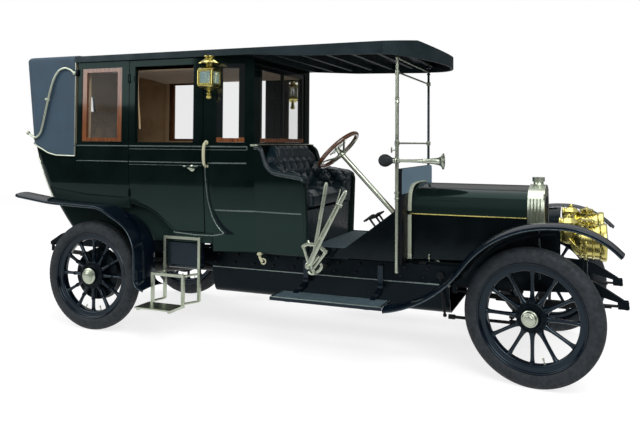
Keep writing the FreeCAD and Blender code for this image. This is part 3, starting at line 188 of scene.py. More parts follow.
def varnished_wood(name, dark, light, along, roughness=0.16, coat=0.7):
    """Grain that runs along one axis, under varnish."""
    s = Shader(name)
    scale = tuple(1.0 if axis == along else 14.0 for axis in "xyz")
    grain, pores = [
        s.noise(
            size, detail, rough, s.add("ShaderNodeMapping", Vector=s.place, Scale=scale).outputs["Vector"])
        for size, detail, rough in ((4.0, 8.0, 0.62), (26.0, 4.0, 0.7))
    ]
    shade = s.math("ADD", s.math("MULTIPLY", grain, 0.7), s.math("MULTIPLY", pores, 0.3))
    s.set(Coat_Weight=coat, Coat_Roughness=0.06)
    return s.look(s.ramp(shade, dark, light, 0.4, 0.6), roughness, pores, 0.1, 0.0006)


def rubber(name, color, worn):
    """Grey, slightly dusty rubber."""
    s = Shader(name)
    dull = s.ramp(s.noise(40.0), 0.62, 0.85)
    return s.look(s.ramp(s.noise(18.0, 7.0), color, worn), dull, s.noise(300.0, 3.0), 0.25, 0.0008)


def leather(name, color, worn, grain, roughness=0.45, lift=0.0012):
    """Grained hide or leathercloth: cells with creases between them."""
    s = Shader(name)
    cells = s.add("ShaderNodeTexVoronoi", {"feature": "DISTANCE_TO_EDGE"}, Vector=s.place, Scale=grain)
    creases = s.ramp(cells.outputs["Distance"], 0.0, 1.0, 0.0, 0.22)
    patches = s.noise(6.0, 6.0)
    base = s.blend(creases, color, s.ramp(patches, color, worn))
    relief = s.math("ADD", creases, s.math("MULTIPLY", s.noise(grain * 2.5), 0.5))
    return s.look(base, s.ramp(patches, roughness, roughness * 1.4), relief, 0.45, lift)


def cloth(name, color, light, threads):
    """A plain weave in all three directions, with soft colour variation."""
    s = Shader(name)
    waves = []
    for axis in "XYZ":
        bands = {"wave_type": "BANDS", "bands_direction": axis}
        waves.append(s.add("ShaderNodeTexWave", bands, Vector=s.place, Scale=threads).outputs["Fac"])
    weave = s.math("MAXIMUM", s.math("MULTIPLY", waves[0], waves[1]), s.math("MULTIPLY", waves[1], waves[2]))
    s.set(Sheen_Weight=0.3, Sheen_Roughness=0.5)
    base = s.blend(s.ramp(weave, 0.0, 1.0, 0.1, 0.9), s.ramp(s.noise(5.0), color, light), light)
    return s.look(base, 0.9, weave, 0.35, 0.0006)


def clear_glass(name, tint, cover):
    """Old window glass: nearly clear, with a faint wave."""
    s = Shader(name)
    s.set(IOR=1.45, Alpha=cover, Specular_IOR_Level=0.6)
    return s.look((*tint, 1), 0.02, s.noise(5.0, 2.0), 0.08, 0.002)


DARK_WOOD, LIT_WOOD = (0.085, 0.022, 0.008), (0.24, 0.075, 0.022)
BLACKENED, BLUE_GREY = (0.003, 0.006, 0.007), (0.145, 0.225, 0.290)
COOL, WHITE = (0.70, 0.92, 1.0), (1.0, 1.0, 1.0)

axle_paint = enamel("axle_enamel", (0.003, 0.004, 0.006), (0.008, 0.009, 0.010), 0.35, 0.18)
seat_leather = leather("seat_leather", (0.003, 0.010, 0.014), (0.010, 0.026, 0.034), 260.0, 0.24, 0.0006)
black_rubber = rubber("black_rubber", (0.003, 0.006, 0.008), (0.007, 0.012, 0.014))
floor_mat = rubber("floor_mat", (0.026, 0.050, 0.062), (0.040, 0.070, 0.084))
# the last colour is painted light: the floor's reflection on the body walls from the waist down
body_paint = lacquer(
    "body_lacquer", (0.0015, 0.0045, 0.0040), (0.004, 0.009, 0.008), 0.05, (0.62, 1.0, 0.94), 0.17,
    (0.011, 0.021, 0.019))
dark_paint = lacquer(
    "bonnet_lacquer", (0.0015, 0.0025, 0.0030), (0.003, 0.005, 0.006), 0.09, (0.7, 0.9, 1.0), 0.2)
wing_paint = lacquer(
    "wing_lacquer", (0.0012, 0.0030, 0.0060), (0.003, 0.006, 0.012), 0.10, (0.66, 0.86, 1.0), 0.38)

# the window sashes are mahogany, but black ahead of the door's middle and above the sill
sash_wood = varnished_wood("sash_wood", (0.085, 0.026, 0.009), (0.22, 0.075, 0.024), "z")
spot = sash_wood.axes()
ahead_of_door = sash_wood.math("GREATER_THAN", spot["X"], rear_axle_x + 1.05)
above_sill = sash_wood.math("GREATER_THAN", spot["Z"], 1.572)
sash_wood.paint_where(sash_wood.math("MULTIPLY", ahead_of_door, above_sill), BLACKENED)

# the dashboard is bare wood behind, black in front and blue-grey in front above the bonnet
dash_board = varnished_wood("dash_board", DARK_WOOD, LIT_WOOD, "y", 0.5, 0.05)
dash_board.set(Specular_IOR_Level=0.15)
heading = dash_board.axes(dash_board.add("ShaderNodeNewGeometry").outputs["True Normal"])["X"]
dash_board.paint_where(dash_board.math("GREATER_THAN", heading, -0.7), (0.003, 0.005, 0.007))
above_bonnet = dash_board.math("GREATER_THAN", dash_board.axes()["Z"], 1.17)
in_front = dash_board.math("GREATER_THAN", heading, 0.7)
dash_board.paint_where(dash_board.math("MULTIPLY", in_front, above_bonnet), BLUE_GREY)

# each finish: its shader and the record's slot; the first with a slot is that slot's own look
LOOKS = {
    "body": (body_paint, "body_paint"),
    "dark": (dark_paint, "body_paint"),
    "wing": (wing_paint, "wing_paint"),
    "roof": (
        lacquer("roof_lacquer", (0.006, 0.012, 0.014), (0.012, 0.020, 0.024), 0.34, COOL, 0.26),
        "roof_paint"),
    "chassis": (lacquer(
        "chassis_enamel", (0.0015, 0.0025, 0.0035), (0.003, 0.005, 0.007), 0.22, (0.60, 0.85, 1.0), 0.13),
        "chassis_paint"),
    "axle": (axle_paint, "axle_steel"),
    "spring": (axle_paint, "spring_steel"),
    "nickel": (metal("nickel_plate", (0.50, 0.55, 0.45), (0.455, 0.50, 0.405), 0.27, 12.0), "nickel"),
    "trim": (metal("trim_bead", (0.25, 0.31, 0.30), (0.19, 0.24, 0.23), 0.26), "nickel"),
    # darkened nickel: painted shade for the far windscreen post, the same nickel as the near one; the fender
    # edge wires use it too
    "shaded_nickel": (metal("shaded_nickel_metal", (0.10, 0.13, 0.14), (0.05, 0.07, 0.08), 0.30), "nickel"),
    "brass": (metal("polished_brass", (0.64, 0.57, 0.20), (0.50, 0.44, 0.14), 0.19, 12.0), "brass"),
    "ivory": (lacquer("ivory_fittings", (0.42, 0.42, 0.27), (0.50, 0.50, 0.34), 0.3, WHITE, 0.5), "nickel"),
    "rim_wood": (
        varnished_wood("wheel_rim_wood", (0.045, 0.017, 0.008), (0.11, 0.045, 0.020), "x"), "mahogany"),
    "mat": (floor_mat, "floor_wood"),
    "glass": (clear_glass("window_glass", (0.10, 0.11, 0.11), 0.10), "glass"),
    "lens": (clear_glass("lens_glass", (0.42, 0.62, 0.60), 0.24), "glass"),
    "tyre": (rubber("tyre_rubber", (0.004, 0.007, 0.010), (0.012, 0.018, 0.024)), "tyre_rubber"),
    "black": (black_rubber, "tyre_rubber"),
    "head": (
        leather("head_leathercloth", (0.016, 0.044, 0.074), (0.034, 0.078, 0.122), 420.0), "head_leather"),
    "seat": (seat_leather, "driver_leather"),
    "strap": (
        leather("strap_leather", (0.36, 0.40, 0.30), (0.46, 0.50, 0.40), 300.0, 0.4, 0.0004),
        "driver_leather"),
    "cloth": (cloth("seat_cloth", (0.30, 0.23, 0.16), (0.46, 0.37, 0.27), 320.0), "rear_cloth"),
    "lining": (cloth("tan_lining", (0.50, 0.33, 0.17), (0.64, 0.45, 0.26), 420.0), "rear_cloth"),
}
FINISHES = {finish: (shader.material, slot) for finish, (shader, slot) in LOOKS.items()}
NODE_LOOKS = {
    "engine_block": axle_paint, "toe_board": floor_mat, "pedals": black_rubber, "seat_box": seat_leather,
    "step_boards": wing_paint, "step_boxes": wing_paint, "dashboard": dash_board, "window_frames": sash_wood,
    "toe_cheeks": dark_paint, "bonnet_side_right": dark_paint, "bonnet_side_left": dark_paint,
}
node_materials = {name: shader.material for name, shader in NODE_LOOKS.items()}
slot_materials = {}
for material, slot in FINISHES.values():
    slot_materials.setdefault(slot, material)
for entry in frame["record"]["subparts"]:
    node = entry["node"]
    material = node_materials.get(node) or slot_materials[entry["material_slot"]]
    nodes[node].data.materials.clear()
    nodes[node].data.materials.append(material)


# ---- shape tools ---------------------------------------------------------------------
UP, AHEAD, ACROSS = Vector((0, 0, 1)), Vector((1, 0, 0)), Vector((0, 1, 0))


def polar(angle, reach, up=0.0):
    """A point round the origin."""
    return Vector((reach * math.cos(angle), reach * math.sin(angle), up))


def turns(count, offset=0.0):
    """The angles of that many equal steps round a circle."""
    return [2 * math.pi * (k + offset) / count for k in range(count)]


def run(start, end, parts):
    """Points, or numbers, evenly from start to end."""
    return [start + (end - start) * k / parts for k in range(parts + 1)]


def rounded(corners, turn=0.1, closed=False):
    """Plane points along lines joined by tangent arcs through corners (a, b, radius)."""
    count = len(corners)
    points = []
    for i, (a, b, radius) in enumerate(corners):
        here = Vector((a, b))
        if radius <= 0 or (not closed and i in (0, count - 1)):
            points.append(here)
            continue
        back = (Vector(corners[i - 1][:2]) - here).normalized()
        ahead = (Vector(corners[(i + 1) % count][:2]) - here).normalized()
        half = back.angle(ahead) / 2
        reach = radius / math.tan(half)
        centre = here + (back + ahead).normalized() * (radius / math.sin(half))
        start = here + back * reach - centre
        sweep = math.pi - 2 * half
        if start.cross(here + ahead * reach - centre) < 0:
            sweep = -sweep
        for angle in run(0.0, sweep, max(2, math.ceil(abs(sweep) / turn))):
            points.append(centre + Matrix.Rotation(angle, 2) @ start)
    return points


def finer(points, step):
    """The same open line with points no further apart than step."""
    made = [points[0]]
    for before, after in zip(points, points[1:]):
        made += run(before, after, max(1, math.ceil((after - before).length / step)))[1:]
    return made


def smooth_line(points, each=8):
    """A Catmull-Rom line through the points."""
    points = [Vector(point) for point in points]
    padded_line = [points[0] * 2 - points[1]] + points + [points[-1] * 2 - points[-2]]
    made = []
    for p0, p1, p2, p3 in zip(padded_line, padded_line[1:], padded_line[2:], padded_line[3:]):
        for k in range(each):
            t = k / each
            made.append(0.5 * (2 * p1 + (p2 - p0) * t + (2 * p0 - 5 * p1 + 4 * p2 - p3) * t ** 2
                               + (3 * p1 - p0 - 3 * p2 + p3) * t ** 3))
    return made + [points[-1]]


def facing(centre, outward, up=UP):
    """A placing matrix whose Z axis looks outward and whose Y axis is as near up as it can be."""
    z = outward.normalized()
    x = up.cross(z).normalized()
    return Matrix.Translation(centre) @ Matrix((x, z.cross(x), z)).transposed().to_4x4()


class Shape:
    """Mesh parts gathered for one piece."""

    def __init__(self):
        self.mesh = bmesh.new()

    def skin(self, rings, around=True, along=False, ends=True):
        """Faces over rows of points; around closes each row, along joins the last row to the first."""
        rows = [[self.mesh.verts.new(point) for point in ring] for ring in rings]
        count = len(rows[0])
        following = rows[1:] + rows[:1] if along else rows[1:]
        for row, other in zip(rows, following):
            for i in range(count if around else count - 1):
                j = (i + 1) % count
                self.mesh.faces.new((row[i], row[j], other[j], other[i]))
        if ends and around and not along:
            self.mesh.faces.new(list(reversed(rows[0])))
            self.mesh.faces.new(rows[-1])

    def revolve(self, profile, place, steps=48, closed=False, wave=None):
        """A profile of (along, radius) turned about place's Z axis; wave(k, i) changes the radius."""
        rings = []
        for k, angle in enumerate(turns(steps)):
            rings.append([
                place @ polar(angle, r + (wave(k, i) if wave else 0.0), a)
                for i, (a, r) in enumerate(profile)])
        self.skin(rings, around=closed, along=True)

    def lathe(self, centre, profile, steps=24, way=None, wave=None):
        """A profile of (along, radius) turned about the line from centre along way, or upright."""
        self.revolve(profile, facing(centre, way) if way else Matrix.Translation(centre), steps, wave=wave)

    def tube(self, points, radius, sides=10, closed=False, flat=1.0, up=None):
        """A bar along points, its section radius wide and flat times that the other way."""
        count = len(points)
        radii = radius if isinstance(radius, (list, tuple)) else [radius] * count
        rings = []
        side = None
        for i, point in enumerate(points):
            before = points[i - 1] if closed or i > 0 else point
            after = points[(i + 1) % count] if closed or i < count - 1 else point
            way = (after - before).normalized()
            if up is not None:
                side = up.cross(way).normalized()
            elif side is None:
                side = way.orthogonal().normalized()
            else:
                side = (side - way * side.dot(way)).normalized()
            other = way.cross(side) * flat
            rings.append([
                point + (side * math.cos(angle) + other * math.sin(angle)) * radii[i]
                for angle in turns(sides, 0.5)])
        self.skin(rings, along=closed)

    def rod(self, start, end, parts, radius, sides=8):
        """A straight round bar."""
        self.tube(run(start, end, parts), radius, sides)

    def block(self, low, high, place=None, bevel=0.002):
        """A block between two corners with its edges rounded over, moved by place."""
        low, high = Vector(low), Vector(high)
        made = bmesh.ops.create_cube(self.mesh, size=1.0)["verts"]
        for vert in made:
            vert.co = Vector((low[i] + (vert.co[i] + 0.5) * (high[i] - low[i]) for i in range(3)))
        edges = list({edge for vert in made for edge in vert.link_edges})
        made = bmesh.ops.bevel(
            self.mesh, geom=edges, offset=bevel, segments=2, profile=0.5, affect="EDGES")["verts"]
        if place:
            for vert in set(made):
                vert.co = place @ vert.co

    def ball(self, centre, radius, stretch=(1, 1, 1), sides=12):
        """A round knob."""
        made = bmesh.ops.create_uvsphere(
            self.mesh, u_segments=sides, v_segments=sides // 2 + 1, radius=radius)["verts"]
        for vert in made:
            vert.co = Vector((vert.co[i] * stretch[i] for i in range(3))) + centre


def piece(name, shape, finish, body="car", sharp=35.0):
    """A finished piece: its faces turned outward, smooth but for sharp edges, riding on a body."""
    made = shape.mesh
    bmesh.ops.remove_doubles(made, verts=made.verts, dist=1e-6)
    bmesh.ops.recalc_face_normals(made, faces=made.faces)
    mesh = bpy.data.meshes.new(name)
    made.to_mesh(mesh)
    made.free()
    mesh.shade_smooth()
    mesh.set_sharp_from_angle(angle=math.radians(sharp))
    material, slot = FINISHES[finish]
    mesh.materials.append(material)
    thing = bpy.data.objects.new(name, mesh)
    bpy.context.scene.collection.objects.link(thing)
    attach(thing, body)
    return thing


def stand_in(node, *args, **settings):
    """A finished piece that is shown in place of a CAD node."""
    thing = piece(*args, **settings)
    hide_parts(node)
    return thing


# ---- wheels and tyres ----------------------------------------------------------------
felloe_inner = 0.292
spoke_count = 12
# half of the tyre's section, from the crown to the rim: (from the middle, radius)
TYRE_HALF = (
    (0.007, tyre_r), (0.009, 0.4368), (0.012, 0.4368), (0.014, 0.4398), (0.024, 0.4388), (0.030, 0.4372),
    (0.033, 0.4352), (0.038, 0.4318), (0.043, 0.4270), (0.047, 0.4222), (0.050, 0.4170), (0.0545, 0.4065),
    (0.0585, 0.3930), (0.0600, 0.3800), (0.0588, 0.3670), (0.0560, 0.3570), (0.0530, 0.3515),
    (0.0500, 0.3480), (0.0455, 0.3440))
NOTCHED = range(7, 10)     # which of those points the shoulder notches sink


def wheel_place(joint, side):
    """The wheel's centre, its Z axis looking away from the car."""
    return facing(Vector(joint["pos_m"]), Vector(joint["axis"]) * side)


def tyre(place):
    """A round shouldered tyre with a row of small notches along each shoulder."""
    half = len(TYRE_HALF)
    profile = [(-a, r) for a, r in reversed(TYRE_HALF)] + list(TYRE_HALF)
    sunk = {half - 1 - i for i in NOTCHED} | {half + i for i in NOTCHED}

    def notch(k, i):
        return -0.0045 if i in sunk and k % 4 == 0 else 0.0
    shape = Shape()
    shape.revolve(profile, place, 320, wave=notch)
    return shape


def rim(place):
    """The clincher rim with its two rolled beads, on the wooden felloe."""
    shape = Shape()
    lip = (
        (0.043, 0.3385), (0.046, 0.3460), (0.0500, 0.3480), (0.0528, 0.3455), (0.0520, 0.3405),
        (0.0480, 0.3365), (0.0430, 0.3350), (0.036, 0.3345), (0.0345, 0.3310), (0.031, 0.3290))
    felloe = ((0.031, 0.3030), (0.0290, 0.2965), (0.0230, 0.2925))
    side = lip + felloe
    shape.revolve(side + tuple((-a, r) for a, r in reversed(side)), place, 120, closed=True)
    return shape


SPOKE = (
    # radius, half width along the rim, half thickness across the wheel
    (0.066, 0.0170, 0.0230), (0.098, 0.0245, 0.0235), (0.106, 0.0215, 0.0225), (0.120, 0.0165, 0.0200),
    (0.145, 0.0135, 0.0180), (0.180, 0.0122, 0.0168), (0.225, 0.0120, 0.0160), (0.262, 0.0128, 0.0166),
    (0.280, 0.0150, 0.0185), (0.288, 0.0180, 0.0210), (0.296, 0.0215, 0.0235),
)


# the clip that ties a spoke to the brake drum
SPOKE_CLIP = (
    (0.182, 0.0122, 0.0168), (0.184, 0.0157, 0.0203), (0.198, 0.0157, 0.0203), (0.200, 0.0122, 0.0168))


def spoke_bar(shape, place, rows):
    """An oval bar along place's Y axis, through rows like SPOKE's."""
    rings = []
    for radius, half_w, half_t in rows:
        rings.append([
            place @ Vector((half_w * math.cos(angle), radius, half_t * math.sin(angle)))
            for angle in turns(16)])
    shape.skin(rings)


def spoke_places(place):
    """The wheel's place turned to each spoke."""
    return [place @ Matrix.Rotation(angle, 4, "Z") for angle in turns(spoke_count)]


def bolt(shape, place, across=0.007, high=0.006):
    """A hexagon head with a rounded top, standing along place's Z axis."""
    shape.revolve(
        ((0, 0), (0, across), (high * 0.7, across), (high, across * 0.72), (high, 0)), place, 6)
    shape.revolve(((high, across * 0.5), (high * 1.35, across * 0.42), (high * 1.35, 0)), place, 10)


def hub(shape, place, driven):
    """The black flanges, barrel and bolts."""
    edge = 0.108 if driven else 0.096
    front = 0.034 if driven else 0.030
    shape.revolve(
        (
            (-0.044, 0.030), (-0.044, 0.062), (-0.030, 0.064), (-0.030, edge - 0.006), (-0.027, edge),
            (-0.022, edge), (-0.022, 0.060), (0.022, 0.060), (0.022, edge), (front - 0.003, edge),
            (front, edge - 0.004), (front, 0.080), (front + 0.003, 0.074), (front + 0.004, 0.066),
            (0.052, 0.060), (0.066, 0.058), (0.066, 0.030),
        ),
        place, 64,
    )
    for angle in turns(spoke_count, 0.5):
        spot = place @ Matrix.Translation(polar(angle, edge - 0.013, front))
        bolt(shape, spot, 0.0062 if driven else 0.0055)


CAPS = {
    False: (
        (0.060, 0.056), (0.064, 0.056), (0.067, 0.050), (0.069, 0.046), (0.078, 0.044), (0.084, 0.041),
        (0.0865, 0.037), (0.0865, 0.026), (0.0880, 0.025), (0.0900, 0.022), (0.0910, 0.012), (0.0912, 0.0),
    ),
    True: (
        (0.060, 0.064), (0.066, 0.064), (0.069, 0.060), (0.071, 0.050), (0.073, 0.044), (0.080, 0.043),
        (0.082, 0.040), (0.083, 0.033), (0.088, 0.032), (0.090, 0.029), (0.0912, 0.016), (0.0915, 0.0),
    ),
}


def valve(shape, place, angle):
    """A valve stem with its cap, standing inward from the felloe."""
    turned = place @ Matrix.Rotation(angle, 4, "Z")
    down = turned @ Matrix.Translation((0, felloe_inner + 0.004, 0)) @ Matrix.Rotation(math.pi / 2, 4, "X")
    shape.revolve(
        ((0, 0), (0, 0.0085), (0.005, 0.0085), (0.006, 0.0042), (0.024, 0.0042), (0.025, 0.0065),
         (0.038, 0.0065), (0.041, 0.004), (0.041, 0)),
        down, 12,
    )


def brake_drum(shape, place):
    """The ribbed drum behind a driven wheel, and the clips that hold it to the spokes."""
    shape.revolve(
        (
            (-0.100, 0.195), (-0.100, 0.209), (-0.094, 0.211), (-0.090, 0.207), (-0.070, 0.205),
            (-0.068, 0.208), (-0.062, 0.208), (-0.060, 0.205), (-0.036, 0.205), (-0.031, 0.200),
            (-0.030, 0.190), (-0.030, 0.050),
            (-0.038, 0.050), (-0.038, 0.195),
        ),
        place, 96, closed=True,
    )
    for turned in spoke_places(place):
        spoke_bar(shape, turned, SPOKE_CLIP)
        bolt(shape, turned @ Matrix.Translation((0, 0.191, 0.0200)), 0.0060, 0.005)


def build_wheel(end, name, side):
    """One wheel in its wood, black iron and nickel, with its tyre."""
    driven = end == "rear"
    whole = f"{end}_{name}"
    body = f"wheel_{whole}"
    place = wheel_place(joints[f"{end}_wheel_{name}_spin"], side)
    stand_in(f"tyre_{whole}", f"rubber_{whole}", tyre(place), "tyre", body, 50.0)

    wood = rim(place)
    for turned in spoke_places(place):
        spoke_bar(wood, turned, SPOKE)
    stand_in(f"wheel_{whole}", f"spoked_{whole}", wood, "wing", body, 50.0)

    black = Shape()
    hub(black, place, driven)
    if driven:
        brake_drum(black, place)
    piece(f"hub_iron_{whole}", black, "chassis", body, 30.0)

    bright = Shape()
    bright.revolve(CAPS[driven], place, 64)
    for degrees in (165, 195) if driven else (195,):
        valve(bright, place, math.radians(degrees))
    piece(f"hub_cap_{whole}", bright, "nickel", body, 30.0)


for end in ("front", "rear"):
    for name, side in SIDES:
        build_wheel(end, name, side)


# ---- fenders -------------------------------------------------------------------------
FRONT_FENDER = (
    (2.487, 0.416, 0), (2.814, 0.480, 0.800), (3.221, 1.026, 0.690), (3.800, 1.030, 0.480),
    (3.966, 0.868, 0))
REAR_FENDER = (
    (-0.745, 1.084, 0), (-0.350, 1.034, 1.500), (0.150, 1.016, 0.300), (0.500, 0.830, 0.300),
    (0.508, 0.420, 0.060), (0.587, 0.392, 0),
)
front_fender_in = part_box("wheel_front_left")[0][1] + 0.037
front_fender_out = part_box("front_fender_left")[1][1]
rear_fender_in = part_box("rear_fender_left")[0][1]
rear_fender_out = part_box("rear_fender_left")[1][1]


def blade(shape, line, inner, outer, crown, side):
    """A crowned sheet along a bent line, its outer edge rolled down; returns its two edge lines."""
    points = finer(rounded(line, 0.05), 0.03)
    thin = 0.004
    columns = 15
    rings, inner_edge, outer_edge = [], [], []
    for i, here in enumerate(points):
        way = (points[min(i + 1, len(points) - 1)] - points[max(i - 1, 0)]).normalized()
        normal = Vector((-way.y, way.x))
        low, high = inner(here), outer(here)
        top, under = [], []
        for k in range(columns + 1):
            share = k / columns
            lift = crown * (1 - (2 * share - 1) ** 2)
            spot = here + normal * lift
            beneath = spot - normal * thin
            across = side * (low + (high - low) * share)
            top.append(at(spot.x, across, spot.y))
            under.append(at(beneath.x, across, beneath.y))
        for drop, out in ((0.004, 0.0015), (0.011, 0.002), (0.017, 0.001)):
            spot = here - normal * drop
            top.append(at(spot.x, side * (high + out), spot.y))
        spot = here - normal * 0.017
        under.append(at(spot.x, side * (high - 0.003), spot.y))
        rings.append(top + list(reversed(under)))
        inner_edge.append(at(here.x, side * low, here.y))
        outer_edge.append(at(spot.x, side * high, spot.y))
    shape.skin(rings)
    return inner_edge, outer_edge


def front_irons(shape, side):
    """The bent iron over the wheel and the stay low behind it."""
    rail_y = 0.419
    x = 3.470
    line = (
        (rail_y, 0.620, 0), (rail_y + 0.043, 0.700, 0.060), (rail_y + 0.051, 0.900, 0.110),
        (front_fender_in + 0.014, 1.020, 0),
    )
    shape.tube([at(x, side * p.x, p.y) for p in rounded(line, 0.2)], 0.010)
    shape.tube(
        [at(2.850, side * rail_y, 0.560), at(2.850, side * (front_fender_in + 0.012), 0.600)], 0.010)
    for spot in (at(x, side * rail_y, 0.625), at(2.850, side * rail_y, 0.560)):
        shape.lathe(
            spot, ((0, 0), (0, 0.024), (0.006, 0.022), (0.009, 0.013), (0.009, 0)), 20, ACROSS * side)


for name, side in SIDES:
    shape = Shape()
    inner_edge, outer_edge = blade(
        shape, FRONT_FENDER, lambda p: front_fender_in, lambda p: front_fender_out - 0.002, 0.016, side)
    front_irons(shape, side)
    stand_in(f"front_fender_{name}", f"front_blade_{name}", shape, "wing", sharp=50.0)
    trim = Shape()
    trim.tube(outer_edge, 0.0036, 8)
    trim.tube(inner_edge, 0.0030, 8)
    piece(f"front_blade_wire_{name}", trim, "shaded_nickel")

    shape = Shape()
    inner_edge, outer_edge = blade(
        shape, REAR_FENDER,
        lambda p: max(rear_fender_in, side_y(p.y) + 0.0015) if p.x < 0.285 else rear_fender_in,
        lambda p: min(rear_fender_out - 0.002, 0.740 + (p.x + 0.900) / 3 * 1.6 - 0.002), 0.012, side)
    stand_in(f"rear_fender_{name}", f"rear_blade_{name}", shape, "wing", sharp=50.0)
    trim = Shape()
    trim.tube(outer_edge, 0.0034, 8)
    piece(f"rear_blade_wire_{name}", trim, "shaded_nickel")


# ---- folding leather head ------------------------------------------------------------
head_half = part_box("leather_head")[1][1]
head_front_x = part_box("leather_head")[1][0] - rear_axle_x
head_edge_r = 0.035
head_edge_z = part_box("leather_head")[1][2] - head_edge_r
light_half, light_low, light_high = 0.210, 1.800, 1.980
tail_skirt_z = 1.518
HEAD_REAR = ((1.412, -0.724), (tail_skirt_z, -0.760), (2.264, -0.850))
HEAD_SKIRT = (
    (0.250, 1.412), (0.470, 1.416), (0.560, 1.436), (0.640, 1.480), (0.700, 1.512), (0.740, tail_skirt_z))
TAIL_HALVES = (0.515, 0.470, 0.425, 0.380, 0.335, 0.290, 0.250, light_half, 0.160, 0.110, 0.055, 0.0)
HEAD_PIVOT = Vector((-0.330, 1.430))
BOW_REACHES = (-0.300, -0.480, -0.690)


def between(value, rows):
    """Straight-line reading of a table of (value, result)."""
    for (a, low), (b, high) in zip(rows, rows[1:]):
        if value <= b:
            return low + (high - low) * max(0.0, value - a) / (b - a)
    return rows[-1][1]


def head_plan(column, up, inset):
    """A plan point and its outward direction at one height, moved inward by inset."""
    kind, value = column
    corner_r = 0.110
    tail = between(up, HEAD_REAR)
    if kind == "side":
        end = tail + corner_r
        return Vector((head_front_x + (end - head_front_x) * value, head_half - inset)), Vector((0.0, 1.0))
    if kind == "corner":
        way = Vector((-math.sin(value), math.cos(value)))
        return Vector((tail + corner_r, head_half - corner_r)) + way * (corner_r - inset), way
    return Vector((tail + inset, value)), Vector((-1.0, 0.0))


def bow_lift(ahead, up):
    """How far the hide stands out: pressed out over the bows, drawn in between them."""
    lift = 0.0
    for reach in BOW_REACHES:
        way = (Vector((reach, 2.240)) - HEAD_PIVOT).normalized()
        gap = way.cross(Vector((ahead, up)) - HEAD_PIVOT)
        lift += 0.0030 * math.exp(-(gap / 0.012) ** 2)
    return lift - 0.0016


def head_wall(column, steps, inset):
    """One column's points from the skirt to the rounded top edge."""
    kind, value = column
    skirt = tail_skirt_z
    if kind != "tail":
        skirt = between(-head_plan(column, 1.5, inset)[0].x, HEAD_SKIRT)
    line = []
    for share in steps:
        up = skirt + (head_edge_z - skirt) * share
        spot, way = head_plan(column, up, inset)
        free = min(1.0, share * 6, (1 - share) * 6)
        if kind == "side":
            spot = spot + way * bow_lift(spot.x, up) * free
        elif kind == "tail":
            spot = spot - way * 0.004 * free * math.sin(math.pi * value / 0.559)
        line.append(Vector((spot.x, spot.y, up)))
    return line


def head_top(column, inset):
    """One column's points over the top edge and in to the middle of the roof."""
    spot, way = head_plan(column, head_edge_z, inset)
    radius = head_edge_r - inset
    centre = spot - way * radius
    line = []
    for angle in run(0.0, math.pi / 2, 6)[1:]:
        out = centre + way * radius * math.cos(angle)
        line.append(Vector((out.x, out.y, head_edge_z + radius * math.sin(angle))))
    middle = Vector((max(centre.x, -0.480), 0.0))
    for k, over in enumerate(run(centre, middle, 8)[1:], 1):
        rise = 0.020 * (1 - (over.y / head_half) ** 2) * max(0.0, 1 - (head_front_x - over.x) / 0.6)
        line.append(Vector((over.x, over.y, head_edge_z + radius + rise * min(1.0, k / 3))))
    return line


def head_grid(inset):
    """Rows of points for each column of the head, from its right front edge round to the left one."""
    low, high = [(up - tail_skirt_z) / (head_edge_z - tail_skirt_z) for up in (light_low, light_high)]
    steps = run(0.0, low, 9)[:-1] + run(low, high, 6)[:-1] + run(high, 1.0, 9)
    columns = [("side", k / 20) for k in range(20)]
    columns += [("corner", angle) for angle in run(0.0, math.pi / 2, 8)]
    columns += [("tail", y) for y in TAIL_HALVES]
    half = [head_wall(column, steps, inset) + head_top(column, inset) for column in columns]
    return half + [[Vector((p.x, -p.y, p.z)) for p in line] for line in reversed(half[:-1])]


def head_skin(shape, inset, thickness):
    """A closed thin skin of that thickness with the rear light cut out."""
    outer, inner = head_grid(inset), head_grid(inset + thickness)
    last = len(outer[0]) - 2
    layers = [
        [[shape.mesh.verts.new(at(*point)) for point in line] for line in grid] for grid in (outer, inner)]

    def solid(i, j):
        if not (0 <= i < len(outer) - 1 and 0 <= j <= last):
            return False
        centre = (outer[i][j] + outer[i + 1][j + 1]) / 2
        return not (centre.x < -0.74 and abs(centre.y) < light_half and light_low < centre.z < light_high)
    for i in range(len(outer) - 1):
        for j in range(last + 1):
            if not solid(i, j):
                continue
            corners = ((i, j), (i + 1, j), (i + 1, j + 1), (i, j + 1))
            for layer in layers:
                shape.mesh.faces.new([layer[a][b] for a, b in corners])
            beside = ((i, j - 1), (i + 1, j), (i, j + 1), (i - 1, j))
            for k, other in enumerate(beside):
                if not solid(*other) and not (k == 2 and j == last):
                    (a, b), (c, d) = corners[k], corners[(k + 1) % 4]
                    shape.mesh.faces.new(
                        [layers[0][a][b], layers[0][c][d], layers[1][c][d], layers[1][a][b]])
    return outer


def skirt_binding(head_lines):
    """The line along the lower edge, just outside it."""
    line = []
    for foot in (points[0] for points in head_lines):
        out = Vector((0.0, math.copysign(1.0, foot.y), 0))
        if foot.x <= -0.62:
            out = Vector((foot.x + 0.60, foot.y * 0.25, 0)).normalized()
        line.append(at(*(foot + out * 0.003)))
    return line


hide = Shape()
head_lines = head_skin(hide, 0.0, 0.004)
head_cover = stand_in("leather_head", "head_cover", hide, "head", sharp=60.0)

binding = Shape()
for side in (-1, 1):
    for low, high in ((between(-head_front_x, HEAD_SKIRT) - 0.004, 1.494), (1.500, head_edge_z + 0.012)):
        ahead, out = head_front_x - 0.004, side * (head_half + 0.002)
        binding.rod(at(ahead, out, low), at(ahead, out, high), 6, 0.0062, 10)
binding.tube(skirt_binding(head_lines), 0.0060, 10)
head_binding = piece("head_binding", binding, "nickel")

light_frame = Shape()
corners = []
for y, z in ((1, light_low), (1, light_high), (-1, light_high), (-1, light_low), (1, light_low)):
    corners.append(at(between(z, HEAD_REAR) - 0.002, y * light_half, z))
light_frame.tube(finer(corners, 0.02)[:-1], 0.009, 8, closed=True, flat=0.8)
head_light_frame = piece("head_light_frame", light_frame, "head")

inner_skin = Shape()
head_skin(inner_skin, 0.016, 0.003)
head_lining = piece("head_lining", inner_skin, "lining", sharp=60.0)


